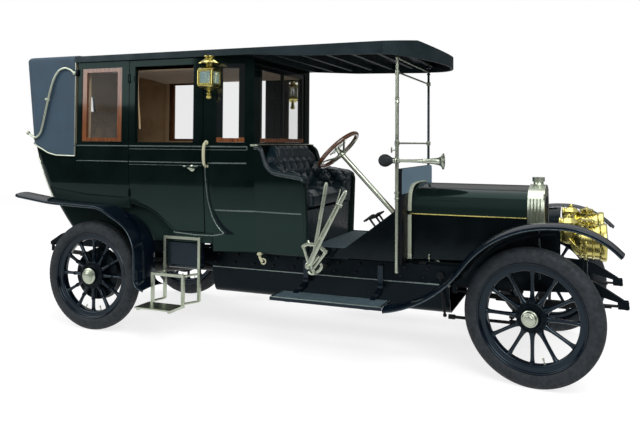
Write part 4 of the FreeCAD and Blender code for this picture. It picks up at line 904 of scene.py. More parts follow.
LANDAU_IRON = (
    (-0.262, 2.112), (-0.300, 2.140), (-0.360, 2.158), (-0.425, 2.136), (-0.476, 2.070), (-0.512, 1.975),
    (-0.545, 1.860), (-0.574, 1.750), (-0.598, 1.660), (-0.625, 1.596), (-0.668, 1.568), (-0.712, 1.580),
    (-0.752, 1.604),
)
IRON_TIP = ((0, 0), (0, 0.015), (0.006, 0.0165), (0.014, 0.0165), (0.019, 0.013), (0.021, 0))


def landau_iron(shape, side):
    """The S-shaped nickel iron with its knob and its two end caps."""
    y = side * (body_half + 0.0245)
    line = smooth_line([at(x, y, z) for x, z in LANDAU_IRON], 6)
    count = len(line)
    shape.tube(line, [0.0088 + 0.0022 * math.sin(math.pi * k / count) for k in range(count)], 14)
    for ahead, up, radius, reach in ((-0.262, 2.112, 0.017, 0.014), (-0.535, 1.890, 0.013, 0.012)):
        button = ((0, 0), (0, radius), (reach, radius), (reach + 0.004, radius * 0.86),
                  (reach + 0.008, radius * 0.5), (reach + 0.009, 0))
        shape.lathe(at(ahead, y - side * 0.012, up), button, 24, ACROSS * side)
    shape.ball(at(-0.560, y, 1.895), 0.013)
    tip = (line[-1] - line[-2]).normalized()
    shape.lathe(line[-1] - tip * 0.006, IRON_TIP, 24, tip)


irons = Shape()
brackets = Shape()
for side in (-1, 1):
    landau_iron(irons, side)
    faces = sorted((side * head_half, side * (head_half + 0.008)))
    brackets.block(at(head_front_x - 0.016, faces[0], 2.086), at(head_front_x + 0.020, faces[1], 2.142))
    brackets.ball(at(-0.690, side * (head_half + 0.001), 1.560), 0.016, (1, 0.5, 1))
stand_in("landau_irons", "landau_iron_pair", irons, "nickel")
piece("landau_iron_brackets", brackets, "chassis")


# ---- beads, mouldings and furniture of the body ---------------------------------------
post_x = 1.060
partition_x = 1.380
driver_front = 1.818
WALL_PLAN = (
    (-2.0, body_half), (post_x, body_half), (partition_x, body_half - 0.100),
    (driver_front, body_half - 0.060))
belt_z, belt_low_z, rail_z = 1.500, 1.476, 1.372


def wall_y(ahead, up):
    """The outer half width of the whole body side: straight, angled to the partition, then out again."""
    return between(ahead, WALL_PLAN) - (body_half - side_y(up))


def on_wall(points, side, proud=0.0):
    """Side points (ahead, up) laid on the body's outer face."""
    return [at(p[0], side * (wall_y(p[0], p[1]) + proud), p[1]) for p in points]


def level(up, *places):
    """A level line of (ahead, up)."""
    return [(ahead, up) for ahead in places]


# beads on the car's own panels: (line, radius)
BODY_BEADS = (
    (level(belt_z, -0.246, 0.282), 0.0052), (level(rail_z, -0.246, 0.282), 0.0046),
    (level(belt_z, 0.994, post_x, 1.330), 0.0052), (level(belt_low_z, 0.994, post_x, 1.330), 0.0028),
    (level(rail_z, 0.994, post_x, 1.325), 0.0046),
    (((1.330, belt_z), (1.330, belt_low_z)), 0.0040),
    (((1.080, 1.006), (1.250, 1.002), (1.382, 1.000)), 0.0050),
    (level(1.000, 1.383, 1.500, 1.786), 0.0050),
    (((0.700, 0.815), (0.900, 0.803), (post_x, 0.806), (1.136, 0.822)), 0.0050),
)
DOOR_BEADS = (
    (level(belt_z, 0.294, 0.981), 0.0052), (level(belt_low_z, 0.294, 0.981), 0.0028),
    (level(rail_z, 0.294, 0.981), 0.0046), (level(1.350, 0.294, 0.981), 0.0026),
)
SWEPT_EDGE = (
    (1.006, 1.461), (1.008, 1.340), (1.012, 1.229), (1.028, 1.076), (1.058, 0.963), (1.094, 0.884),
    (1.140, 0.826))
TAIL = ((1.010, -0.560), (1.180, -0.636), (1.330, -0.694), (1.440, -0.729), (1.518, -0.752))
# a near-black strip laid just proud of the wall, as painted shade for the gap ahead of the swept edge: (rear
# edge, front edge, up)
SHADE_STRIP = (
    (1.046, 1.078, 1.000), (1.058, 1.096, 0.963), (1.072, 1.116, 0.928), (1.094, 1.146, 0.884),
    (1.116, 1.180, 0.852), (1.142, 1.216, 0.828), (1.160, 1.222, 0.818))
SEAT_SIDE_TOP = (
    (1.383, 1.494, 0), (1.440, 1.492, 0.070), (1.500, 1.306, 0.120), (1.812, 1.264, 0.060),
    (1.814, 0.700, 0))
swept_line = smooth_line(SWEPT_EDGE, 8)
seat_side_line = rounded(SEAT_SIDE_TOP, 0.08)


def moved(points, ahead, up):
    """Plane points shifted by that much."""
    return [p + Vector((ahead, up)) for p in points]


def beads(shape, rows, side):
    """Half-round beads along lines of (ahead, up) on the body side."""
    for corners, radius in rows:
        line = finer([Vector(c) for c in corners], 0.03)
        shape.tube(on_wall(line, side), radius, 8)


def tail_bead(side):
    """The pale bead down the rear corner to the fender."""
    inward = 0.110 * (1 - math.sqrt(0.5))
    shape = Shape()
    shape.tube([
        at(between(up, TAIL) + inward - 0.001, side * (side_y(up) - inward + 0.001), up)
        for up in run(1.405, 1.020, 23)], 0.0042, 8)
    return shape


def body_trim(side):
    """The beads on the car's own panels, the swept edge and the line round the driver's side."""
    shape = Shape()
    beads(shape, BODY_BEADS, side)
    shape.tube(on_wall(swept_line, side, 0.0015), 0.0042, 8)
    top = [p for p in seat_side_line if p.x < 1.79 or p.y > 1.25]
    shape.tube(on_wall(moved(top, 0, -0.010), side), 0.0042, 8)
    return shape


def body_roll(side):
    """The rolled dark edges of the driver's side and of the swept panel."""
    shape = Shape()
    shape.tube(on_wall(finer(seat_side_line, 0.02), side, -0.004), 0.0120, 12)
    shape.tube(on_wall(moved(swept_line, 0.016, -0.004), side, 0.0005), 0.0085, 10)
    return shape


def slot_shade_strip(side):
    """A near-black strip just proud of the wall, as painted shade for the gap ahead of the swept edge."""
    shape = Shape()
    rings = []
    for back, ahead, up in SHADE_STRIP:
        section = ((back, 0.0012), (ahead, 0.0012), (ahead, -0.01), (back, -0.01))
        rings.append([on_wall([(a, up)], side, lift)[0] for a, lift in section])
    shape.skin(rings)
    return shape


for name, side in SIDES:
    piece(f"tail_bead_{name}", tail_bead(side), "nickel")
    piece(f"body_beads_{name}", body_trim(side), "trim")
    piece(f"body_roll_{name}", body_roll(side), "body")
    # the near-black strip is painted shade for the gap ahead of the swept edge
    piece(f"slot_shade_strip_{name}", slot_shade_strip(side), "chassis")
    bright = Shape()
    beads(bright, DOOR_BEADS, side)
    piece(f"door_beads_{name}", bright, "trim", f"rear_door_{name}")


# ---- door hinges, handle and grab handle ----------------------------------------------
# half of the door handle's grip: (along, radius)
HANDLE_HALF = (
    (0.0, 0.0105), (0.016, 0.0078), (0.028, 0.0050), (0.045, 0.0062), (0.062, 0.0040), (0.070, 0.0015))
HANDLE_GRIP = [(-along, radius) for along, radius in reversed(HANDLE_HALF[1:])] + list(HANDLE_HALF)
HANDLE_ROSE = (
    (0, 0), (0, 0.026), (0.004, 0.025), (0.006, 0.018), (0.010, 0.011), (0.024, 0.009), (0.028, 0.014),
    (0.036, 0.013), (0.040, 0.008), (0.041, 0))
GRAB = (
    (1.530, 0.0), (1.524, 0.026), (1.498, 0.036), (1.450, 0.040), (1.400, 0.038), (1.360, 0.030),
    (1.348, 0.0))
GRAB_ROSE = ((0, 0), (0, 0.019), (0.003, 0.0185), (0.006, 0.012), (0.012, 0.009), (0.012, 0))
handle_x, grab_x, door_hinge_x = 0.892, 1.018, 0.287
for name, side in SIDES:
    handle = Shape()
    y = side * (side_y(1.34) + 0.030)
    grip = [at(handle_x + along, y, 1.338 - 0.010 * math.cos(along * 45)) for along, _ in HANDLE_GRIP]
    handle.tube(grip, [radius for _, radius in HANDLE_GRIP], 12, flat=1.3)
    handle.lathe(at(handle_x, side * (side_y(1.34) - 0.002), 1.330), HANDLE_ROSE, 28, ACROSS * side)
    piece(f"door_handle_{name}", handle, "nickel", f"rear_door_{name}")

    knuckles = Shape()
    for up in (2.050, 1.448, 1.120):
        middle = at(door_hinge_x, side * (side_y(up) + 0.006), up)
        knuckles.rod(middle - UP * 0.024, middle + UP * 0.024, 4, 0.0075, 12)
        for end in (-0.027, 0.027):
            knuckles.ball(middle + UP * end, 0.0062)
    piece(f"door_hinge_knuckles_{name}", knuckles, "chassis")

    grab = Shape()
    line = smooth_line([at(grab_x, side * (side_y(up) + out), up) for up, out in GRAB], 7)
    last = len(line) - 1
    grab.tube(line, [0.0085 + 0.0040 * math.sin(math.pi * k / last) for k in range(last + 1)], 12)
    for up in (GRAB[0][0], GRAB[-1][0]):
        grab.lathe(at(grab_x, side * (side_y(up) - 0.001), up), GRAB_ROSE, 24, ACROSS * side)
    piece(f"grab_handle_{name}", grab, "ivory")


# ---- upholstery ----------------------------------------------------------------------
def off_line(value, pitch):
    """How far a value is from the nearest whole number of pitches."""
    return abs(value / pitch - round(value / pitch)) * pitch


class Tufting:
    """Relief of buttoned leather: crowned diamonds, creases between buttons, pleats at both ends."""

    def __init__(self, pitch, rise, first_row, rows):
        self.pitch = pitch
        self.rise = rise
        self.first_row = first_row
        self.rows = [(first_row + row * rise, pitch / 2 if row % 2 else 0.0) for row in range(rows)]

    def relief(self, along, up):
        """How far the cover stands out at a place."""
        crease_w, fold_w, button_w = 0.011, 0.008, 0.020
        top_row, top_shift = self.rows[-1]
        nearest = min(math.hypot(off_line(along - shift, self.pitch), up - z) for z, shift in self.rows)
        relief = -0.017 * math.exp(-(min(1.0, nearest) / button_w) ** 2)
        if self.first_row - 0.02 <= up <= top_row + 0.004:
            rising = (up - self.first_row) / (2 * self.rise)
            u, v = along / self.pitch + rising, along / self.pitch - rising
            for share in (u, v):
                off = off_line(share, 1.0) * self.pitch * 0.9
                relief -= 0.0135 * math.exp(-(off / crease_w) ** 2)
            relief += 0.010 * abs(math.sin(math.pi * u) * math.sin(math.pi * v))
        elif up > top_row:
            off = off_line(along - top_shift, self.pitch)
            fold = off_line(along - top_shift, self.pitch / 2)
            fade = min(1.0, (up - top_row) / 0.02)
            relief -= 0.0170 * math.exp(-(off / crease_w) ** 2)
            relief -= 0.0070 * fade * math.exp(-(fold / fold_w) ** 2)
        else:
            relief -= 0.0085 * math.exp(-(off_line(along, self.pitch) / crease_w) ** 2)
        return relief

    def buttons(self, low, high):
        """Where the buttons lie between two places along: (along, up)."""
        start = math.floor(low / self.pitch)
        spots = []
        for up, shift in self.rows:
            for k in range(start, start + int((high - low) / self.pitch) + 2):
                along = k * self.pitch + shift
                if low < along < high:
                    spots.append((along, up))
        return spots


seat_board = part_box("seat_box")[1][2]
seat_floor = seat_board + 0.004
arm_inner = 0.424
arm_front = 1.806
back_face = 1.498
back_top = 1.510
roll_tall = 0.037
ARM_TOP = (
    (1.440, 1.506), (1.462, 1.480), (1.500, 1.398), (1.545, 1.344), (1.600, 1.322), (1.700, 1.306),
    (1.806, 1.292))
driver_tufts = Tufting(0.135, 0.088, 1.215, 3)


def seat_path():
    """Half of the padding's plan line from its middle: (spot, inward way, reach along)."""
    corner = 0.110
    straight = arm_inner - corner
    centre = Vector((back_face + corner, straight))
    line = [(Vector((back_face, y)), Vector((1.0, 0.0))) for y in run(0.0, straight, 36)[:-1]]
    for angle in run(0.0, math.pi / 2, 20)[:-1]:
        way = Vector((math.cos(angle), -math.sin(angle)))
        line.append((centre - way * corner, way))
    line += [(Vector((x, arm_inner)), Vector((0.0, -1.0))) for x in run(centre.x, arm_front, 36)]
    made, reach = [], 0.0
    for i, (spot, way) in enumerate(line):
        reach += (spot - line[i - 1][0]).length if i else 0.0
        made.append((spot, way, reach))
    return made


def back_lean(up, on_arm):
    """How far the back, but not the arms, leans rearward at a height."""
    return max(0.0, up - 1.300) * 0.200 * (1 - on_arm)


def seat_top(spot, on_arm):
    """Height of the padding's roll: level round the back, swept down along the arms."""
    high = between(spot.x, ARM_TOP) if spot.x > 1.5 else back_top
    if on_arm < 1:
        high = high * on_arm + back_top * (1 - on_arm)
        if spot.x <= 1.56:
            high = min(high, back_top)
    return high


def seat_section(high, on_arm, deep, shrink):
    """The section's outline: rows of (back, up, height for the tufts, face, top)."""
    half_deep = deep / 2
    roll_z = high - roll_tall
    line = []
    for up in run(seat_floor, roll_z, 44)[:-1]:
        line.append((back_lean(up, on_arm) + half_deep * (1 - shrink), up, up, 1.0, 0.0))
    lean = back_lean(roll_z, on_arm)
    room = (deep - lean) / 2
    for angle in run(0.0, math.pi, 16):
        cos, sin = math.cos(angle), math.sin(angle)
        up = roll_z + roll_tall * shrink * sin
        line.append((lean + room * (1 - shrink * cos), up, roll_z + roll_tall * angle * 1.1, cos, sin))
    for k in range(1, 5):
        line.append((lean + room * (1 + shrink), roll_z - 0.014 * k, 2.0, -1.0, 0.0))
    return line


def seat_column(spot, way, reach, total):
    """One section of the wrapped back: up the inner face, over the roll, down outside."""
    on_arm = max(0.0, -way.y)
    high = seat_top(spot, on_arm)
    outer = wall_y(spot.x, 1.25) - 0.006
    deep = 0.100 * (1 - on_arm) + (outer - arm_inner) * on_arm
    front = total - reach
    shrink = math.sqrt(max(0.05, 1 - (1 - min(1.0, front / 0.045)) ** 2))
    made = []
    for back, up, height, face, top in seat_section(high, on_arm, deep, shrink):
        relief = driver_tufts.relief(reach, height) if height < 1.9 else 0.0
        if front < 0.03:
            relief *= 0.2
        place = spot - way * back + way * (relief * face)
        if on_arm > 0.5 and up < high - roll_tall - 0.01:
            place.y = min(place.y, wall_y(spot.x, up) - 0.036)
        made.append((place.x, place.y, up + relief * top))
    return made


padding = Shape()
path = seat_path()
total = path[-1][2]
half = [seat_column(*entry, total) for entry in path]
padding.skin(
    [[at(*p) for p in line] for line in reversed(half)]
    + [[at(x, -y, z) for x, y, z in line] for line in half[1:]])
driver_back = stand_in("driver_seat", "driver_back", padding, "seat", sharp=80.0)

BUTTON = ((-0.003, 0), (-0.003, 0.0075), (0.001, 0.0078), (0.004, 0.0055), (0.0052, 0))
driver_knobs = Shape()
for along, up in driver_tufts.buttons(-total, total):
    reach = abs(along)
    spot, way, _ = min(path, key=lambda entry: abs(entry[2] - reach))
    if total - reach < 0.05 or (up > between(spot.x, ARM_TOP) - 0.045 and spot.x > 1.5):
        continue
    place = spot - way * (back_lean(up, max(0.0, -way.y)) + 0.012)
    mirror = 1 if along >= 0 else -1
    driver_knobs.lathe(at(place.x, place.y * mirror, up), BUTTON, 12, Vector((way.x, way.y * mirror, 0.0)))
piece("driver_back_buttons", driver_knobs, "seat")


def applied(thing):
    """The mesh that a piece has after its modifiers, which are then taken away."""
    graph = bpy.context.evaluated_depsgraph_get()
    mesh = bpy.data.meshes.new_from_object(thing.evaluated_get(graph))
    thing.modifiers.clear()
    return mesh


def on_rim(spot, low, high, radius):
    """Whether a point lies on the cushion's outer side faces."""
    return any(spot[i] < low[i] + radius * 0.35 or spot[i] > high[i] - radius * 0.35 for i in (0, 1))


def blow(thing, held, cap):
    """Stuff a cushion by a cloth simulation under pressure, its seams held, each move capped."""
    frames = 20
    mesh = thing.data
    rest = [vert.co.copy() for vert in mesh.vertices]
    thing.vertex_groups.new(name="seams").add(held, 1.0, "REPLACE")
    stuffing = thing.modifiers.new("stuffing", "CLOTH")
    stuffing.settings.use_pressure = True
    stuffing.settings.uniform_pressure_force = 4.0
    stuffing.settings.effector_weights.gravity = 0.0
    stuffing.settings.vertex_group_mass = "seams"
    stuffing.settings.quality = 5
    stuffing.settings.tension_stiffness = 12.0
    stuffing.point_cache.frame_end = frames
    for step in range(1, frames + 1):
        bpy.context.scene.frame_set(step)
    moves = [vert.co - spot for vert, spot in zip(applied(thing).vertices, rest)]
    for vert, spot, move in zip(mesh.vertices, rest, moves):
        vert.co = spot + move * min(1.0, cap / max(move.length, 1e-6))
    bpy.context.scene.frame_set(1)


def stuffed(thing, low, high, seams, radius, cap=0.014):
    """A block made into a cushion, blown out between its two seams."""
    low, high = at(*low), at(*high)
    material = thing.data.materials[0]
    remesh = thing.modifiers.new("even_mesh", "REMESH")
    remesh.mode = "VOXEL"
    remesh.voxel_size = 0.0075
    mesh = applied(thing)
    thing.data = mesh
    held = [
        v.index for v in mesh.vertices
        if any(abs(v.co.z - z) < 0.006 for z in seams) and on_rim(v.co, low, high, radius)]
    blow(thing, held, cap)
    mesh.materials.clear()
    mesh.materials.append(material)
    smooth_hide = thing.modifiers.new("smooth_hide", "SUBSURF")
    smooth_hide.levels = 1
    smooth_hide.render_levels = 1
    thing.data = applied(thing)
    thing.data.shade_smooth()


def cushion(name, low, high, seams, finish, cord):
    """A stuffed cushion and the shape that holds its corded piping."""
    radius, corner = 0.030, 0.034
    shape = Shape()
    shape.block(at(*low), at(*high), bevel=radius)
    thing = piece(name, shape, finish, "car", 80.0)
    stuffed(thing, low, high, seams, radius)
    ends = ((low, low), (high, low), (high, high), (low, high))
    corners = [(x[0], y[1], corner) for x, y in ends]
    line = finer(rounded(corners, 0.2, closed=True), 0.02)
    piping = Shape()
    for up in seams:
        piping.tube([at(p.x, p.y, up) for p in line], cord, 8, closed=True)
    return thing, piping


DRIVER_STRAP = (
    (1.640, 1.166), (1.760, 1.163), (1.808, 1.150), (1.823, 1.110), (1.823, 1.060), (1.812, 1.030))
_, driver_piping = cushion(
    "driver_cushion", (1.520, -0.408, seat_floor), (1.812, 0.408, 1.150), (1.050, 1.122),
    "seat", 0.0048)
top = [p for p in finer(seat_side_line, 0.02) if p.y > 1.24]
for side in (-1, 1):
    driver_piping.tube(on_wall(moved(top, 0, 0.004), side, 0.002), 0.0135, 12)
    inner = moved([p for p in top if p.x < 1.79], -0.004, 0.020)
    driver_piping.tube(on_wall(inner, side, -0.020), 0.0060, 8)
    line = smooth_line([at(x, 0.20 * side, z) for x, z in DRIVER_STRAP], 5)
    driver_piping.tube(line, 0.016, 8, flat=0.12, up=ACROSS)
piece("driver_cushion_piping", driver_piping, "seat")


# ---- rear seat -----------------------------------------------------------------------
rear_cushion, rear_piping = cushion(
    "rear_cushion", (-0.455, -0.530, 0.988), (0.030, 0.530, 1.130), (1.018, 1.102), "cloth", 0.004)
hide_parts("rear_seat")
piece("rear_cushion_piping", rear_piping, "cloth")

squab_half, squab_low, squab_tall = 0.535, 1.168, 0.650
REAR_BUTTON = ((-0.003, 0), (-0.003, 0.009), (0.002, 0.009), (0.005, 0.006), (0.006, 0))
rear_tufts = Tufting(0.150, 0.110, 1.270, 5)


def squab_face(up):
    """The backrest's face, leaning rearward."""
    return -0.486 - 0.085 * (up - squab_low) / squab_tall


def squab_line(y):
    """One upright section of the backrest, its edges rounded off."""
    line = []
    for up in run(squab_low, squab_low + squab_tall, 60):
        edge = min(1.0, (squab_half - abs(y)) / 0.030, (squab_low + squab_tall - up) / 0.030)
        crown = 0.020 * (1 - math.sqrt(max(0.0, 1 - (1 - max(0.0, edge)) ** 2)))
        line.append(at(squab_face(up) + rear_tufts.relief(y, up) - crown - 0.004, y, up))
    return line + [at(-0.700, y, 1.812), at(-0.675, y, 1.520), at(-0.570, y, 1.172)]


squab = Shape()
squab.skin([squab_line(y) for y in run(-squab_half, squab_half, 110)])
piece("rear_squab", squab, "cloth", sharp=80.0)
rear_knobs = Shape()
for y, up in rear_tufts.buttons(-0.52, 0.52):
    rear_knobs.lathe(at(squab_face(up) - 0.018, y, up), REAR_BUTTON, 12, AHEAD)
piece("rear_squab_buttons", rear_knobs, "cloth")


# ---- headlamps -----------------------------------------------------------------------
LAMP_DRUM = (
    (-0.100, 0), (-0.096, 0.030), (-0.084, 0.062), (-0.060, 0.092), (-0.036, 0.107), (-0.030, 0.111),
    (-0.024, 0.107), (0.040, 0.109), (0.044, 0.114), (0.050, 0.114), (0.054, 0.110), (0.084, 0.112),
    (0.090, 0.118), (0.096, 0.123), (0.112, 0.125), (0.124, 0.124), (0.130, 0.119), (0.131, 0.111),
    (0.126, 0.108), (0.120, 0.106), (0.080, 0.100), (0.030, 0.086), (-0.020, 0.060), (-0.050, 0.030),
    (-0.058, 0),
)
LAMP_CROWN = (
    (0, 0), (0, 0.066), (0.006, 0.070), (0.010, 0.066), (0.034, 0.064), (0.038, 0.069), (0.044, 0.069),
    (0.048, 0.058), (0.058, 0.048), (0.062, 0.040), (0.080, 0.040), (0.084, 0.046), (0.089, 0.046),
    (0.096, 0.030), (0.103, 0.014), (0.110, 0.008), (0.116, 0.008), (0.120, 0.0),
)
crown_squash = 0.62
GAS_JAR = (
    (-0.078, 0), (-0.078, 0.040), (-0.070, 0.054), (-0.060, 0.058), (-0.052, 0.055), (-0.010, 0.055),
    (-0.006, 0.060), (0.002, 0.060), (0.006, 0.055), (0.050, 0.055), (0.054, 0.061), (0.062, 0.061),
    (0.070, 0.052), (0.086, 0.038), (0.092, 0.024), (0.104, 0.022), (0.108, 0.012), (0.116, 0.010),
    (0.116, 0),
)
JAR_BACK = (
    (-0.050, 0), (-0.052, 0.034), (-0.046, 0.046), (-0.038, 0.047), (-0.032, 0.040), (0, 0.040), (0, 0))
LAMP_EAR = ((0, 0), (0, 0.018), (0.008, 0.018), (0.010, 0.011), (0.016, 0.010), (0.018, 0.006), (0.018, 0))
LAMP_STALK = (
    (0, 0), (0, 0.024), (0.010, 0.024), (0.016, 0.014), (0.10, 0.012), (0.112, 0.018), (0.120, 0.018),
    (0.124, 0))
LAMP_LENS = (
    (0.119, 0), (0.119, 0.106), (0.122, 0.108), (0.126, 0.100), (0.134, 0.070), (0.139, 0.035), (0.140, 0))
# a thin disc that stands for the shade inside one vent hole of the crown
LAMP_VENT_SHADE = ((0, 0), (0, 0.0052), (0.0012, 0.0050), (0.0012, 0))
LAMP_JET = ((-0.04, 0), (-0.04, 0.010), (0.02, 0.010), (0.024, 0.004), (0.040, 0.003), (0.040, 0))
lamp_x, lamp_y, lamp_z = 3.757, 0.394, 0.893
lamp_stalk_foot = 0.655


def headlamp(side, centre, crown):
    """The brass drum on its fork, with its crown, its gas jar and the pipe between them."""
    shape = Shape()
    shape.lathe(centre, LAMP_DRUM, 56, AHEAD)
    shape.lathe(crown - UP * 0.010, [(a * crown_squash, r) for a, r in LAMP_CROWN], 40)
    for angle in turns(8):
        shape.ball(crown + polar(angle, 0.046, 0.036), 0.007)
    jar = at(3.655, side * lamp_y, 0.955)
    shape.lathe(jar, GAS_JAR, 36)
    shape.lathe(at(3.640, side * lamp_y, 1.000), JAR_BACK, 32, AHEAD)
    pipe = smooth_line([
        jar + Vector((0, side * 0.050, -0.040)), jar + Vector((0.020, side * 0.078, -0.060)),
        centre + Vector((-0.020, side * 0.100, -0.060)), centre + Vector((0.010, side * 0.090, -0.062))], 6)
    shape.tube(pipe, 0.006, 10)
    for ear in (-1, 1):
        shape.lathe(centre + ACROSS * ear * 0.106, LAMP_EAR, 20, ACROSS * ear)
    fork = [centre + Vector((0, 0.1155 * math.cos(a), -0.1200 * math.sin(a))) for a in run(0.0, math.pi, 14)]
    shape.tube(fork, 0.009, 10, flat=0.6)
    return shape


for name, side in SIDES:
    centre = at(lamp_x, side * lamp_y, lamp_z)
    crown = centre + Vector((0.010, 0, 0.098))
    stalk = Shape()
    stalk.lathe(at(lamp_x, side * lamp_y, lamp_stalk_foot), LAMP_STALK)
    piece(f"headlamp_stalk_{name}", stalk, "chassis")
    stand_in("headlamps", f"headlamp_{name}", headlamp(side, centre, crown), "brass")
    glow = Shape()
    glow.lathe(centre, LAMP_LENS, 48, AHEAD)
    piece(f"headlamp_lens_{name}", glow, "lens")
    # near-black discs on the crown as painted shade in the vent holes; the burner jet behind the lens is in
    # the same dark enamel
    dark = Shape()
    for angle in turns(14):
        dark.lathe(crown + polar(angle, 0.0655, 0.004), LAMP_VENT_SHADE, 12, polar(angle, 1.0))
    dark.lathe(centre, LAMP_JET, 16, AHEAD)
    piece(f"headlamp_vent_shade_and_jet_{name}", dark, "chassis")


# ---- side lanterns -------------------------------------------------------------------
LANTERN_FOOT = (
    (1.938, 0.030), (1.942, 0.046), (1.948, 0.062), (1.956, 0.068), (1.966, 0.068), (1.969, 0.063),
    (1.969, 0.030))
LANTERN_HEAD = (
    (2.074, 0.030), (2.074, 0.063), (2.077, 0.068), (2.086, 0.068), (2.094, 0.060), (2.100, 0.044),
    (2.104, 0.030))
CANOPY = (
    (2.102, 0), (2.102, 0.030), (2.112, 0.024), (2.126, 0.026), (2.124, 0.070), (2.127, 0.078),
    (2.132, 0.078), (2.146, 0.056), (2.160, 0.042), (2.164, 0.034), (2.176, 0.036), (2.181, 0.046),
    (2.186, 0.046), (2.189, 0.036), (2.190, 0))
FINIAL = (
    (1.940, 0), (1.940, 0.044), (1.934, 0.036), (1.926, 0.020), (1.918, 0.013), (1.908, 0.012),
    (1.903, 0.021), (1.898, 0.021), (1.893, 0.012), (1.887, 0.018), (1.876, 0.023), (1.865, 0.020),
    (1.858, 0.010), (1.856, 0))
BURNER_FOOT = ((1.970, 0), (1.970, 0.030), (1.990, 0.028), (1.994, 0.010), (2.016, 0.008), (2.016, 0))
FLAME = ((2.012, 0), (2.012, 0.010), (2.022, 0.011), (2.034, 0.006), (2.046, 0.002), (2.048, 0))
# levels of a bevelled pane: (out, half width, low, high)
PANE = ((0.0585, 0.047, 1.976, 2.067), (0.0600, 0.047, 1.976, 2.067), (0.0632, 0.036, 1.988, 2.055))
lantern_x, lantern_y = 1.112, 0.782


def square_ring(half, up, centre):
    """One level of a square shape with cut corners."""
    h, c = half, half - 0.012
    corners = ((h, c), (c, h), (-c, h), (-h, c), (-h, -c), (-c, -h), (c, -h), (h, -c))
    return [centre + Vector((x, y, up)) for x, y in corners]


def fluting(count, depth, over):
    """A wave for lathe: that many flutes over the profile's points in a range."""
    return lambda k, i: depth * math.cos(count * 2 * math.pi * k / 48) if i in over else 0.0


def lantern_case(centre, four_ways, side):
    """The brass case: foot, head, corner posts, beading, canopy, finial, burner foot and bracket."""
    shape = Shape()
    for levels in (LANTERN_FOOT, LANTERN_HEAD):
        shape.skin([square_ring(half, up, centre) for up, half in levels])
    for x, y in ((-1, -1), (-1, 1), (1, -1), (1, 1)):
        post = centre + Vector((x * 0.059, y * 0.059, 1.968))
        shape.rod(post, post + UP * 0.106, 4, 0.0075, 10)
    for turn in four_ways:
        for up in (1.9735, 2.0695):
            shape.rod(turn @ Vector((0.063, -0.050, up)), turn @ Vector((0.063, 0.050, up)), 5, 0.0036)
        for left in (-0.0475, 0.0475):
            shape.rod(turn @ Vector((0.063, left, 1.974)), turn @ Vector((0.063, left, 2.0695)), 4, 0.0036)
    shape.lathe(centre, CANOPY, 48, wave=fluting(8, 0.006, range(4, 8)))
    shape.lathe(centre, FINIAL, 28)
    shape.lathe(centre, BURNER_FOOT)
    wall = side * (body_half - 0.004)
    for up in (1.985, 2.050):
        shape.rod(at(lantern_x, wall, up), at(lantern_x, side * (lantern_y - 0.066), up), 4, 0.0070, 12)
    plate = facing(at(lantern_x, wall, 2.018), ACROSS * side)
    shape.block((-0.018, -0.055, 0.0), (0.018, 0.055, 0.006), plate, 0.0025)
    return shape


for name, side in SIDES:
    centre = at(lantern_x, side * lantern_y, 0.0)
    four_ways = [Matrix.Translation(centre) @ Matrix.Rotation(angle, 4, "Z") for angle in turns(4)]
    stand_in("lanterns", f"lantern_{name}", lantern_case(centre, four_ways, side), "brass")
    panes = Shape()
    for turn in four_ways:
        panes.skin([
            [turn @ Vector((out, y, z)) for y, z in ((-half, low), (half, low), (half, high), (-half, high))]
            for out, half, low, high in PANE])
    piece(f"lantern_panes_{name}", panes, "lens", sharp=5.0)
    flame = Shape()
    flame.lathe(centre, FLAME, 16)
    piece(f"lantern_burner_{name}", flame, "ivory")


# ---- horn ----------------------------------------------------------------------------
HORN_BULB = (
    (2.384, 0), (2.385, 0.010), (2.391, 0.024), (2.402, 0.036), (2.418, 0.044), (2.436, 0.046),
    (2.452, 0.042), (2.468, 0.033), (2.484, 0.022), (2.500, 0.015), (2.516, 0.0125), (2.528, 0.0135),
    (2.532, 0.0135), (2.532, 0))
HORN_TRUMPET = (
    (2.526, 0), (2.526, 0.0150), (2.540, 0.0155), (2.544, 0.0115), (2.556, 0.0105), (2.640, 0.0110),
    (2.700, 0.0135), (2.704, 0.0160), (2.710, 0.0160), (2.714, 0.0145), (2.780, 0.0205), (2.812, 0.0255),
    (2.828, 0.0320), (2.838, 0.0420), (2.844, 0.0540), (2.8475, 0.0575), (2.8500, 0.0560), (2.8480, 0.0500),
    (2.8420, 0.0390), (2.8300, 0.0290), (2.8100, 0.0210), (2.7500, 0.0120), (2.7000, 0))
HORN_COLLAR = ((2.494, 0), (2.494, 0.019), (2.498, 0.021), (2.514, 0.021), (2.518, 0.019), (2.518, 0))
horn_y, horn_z = -0.572, 1.412
horn_line = at(0, horn_y, horn_z)
post_ahead = 2.506
bulb = Shape()
bulb.lathe(horn_line, HORN_BULB, 40, AHEAD)
stand_in("horn", "horn_bulb", bulb, "black")
trumpet = Shape()
trumpet.lathe(horn_line, HORN_TRUMPET, 44, AHEAD)
trumpet.block(
    at(post_ahead - 0.016, horn_y - 0.004, horn_z - 0.012), at(post_ahead + 0.016, -0.500, horn_z + 0.012),
    bevel=0.004)
trumpet.lathe(horn_line, HORN_COLLAR, 28, AHEAD)
clasp = [at(post_ahead, horn_y - 0.018, horn_z + up) for up in (-0.016, 0.0, 0.016)]
trumpet.tube(smooth_line(clasp, 3), 0.004, 8)
piece("horn_trumpet", trumpet, "nickel")


# ---- steering wheel ------------------------------------------------------------------
STEERING_SPOKE = (
    (0.020, -0.046), (0.050, -0.044), (0.085, -0.034), (0.120, -0.022), (0.150, -0.014), (0.178, -0.010))
STEERING_SPOKE_FOOT = ((-0.006, 0), (-0.006, 0.012), (0.004, 0.014), (0.004, 0))
STEERING_HUB = (
    (-0.062, 0), (-0.062, 0.022), (-0.056, 0.034), (-0.040, 0.036), (-0.034, 0.028), (-0.012, 0.020),
    (0.010, 0.017), (0.014, 0.022), (0.020, 0.022), (0.026, 0.012), (0.030, 0))
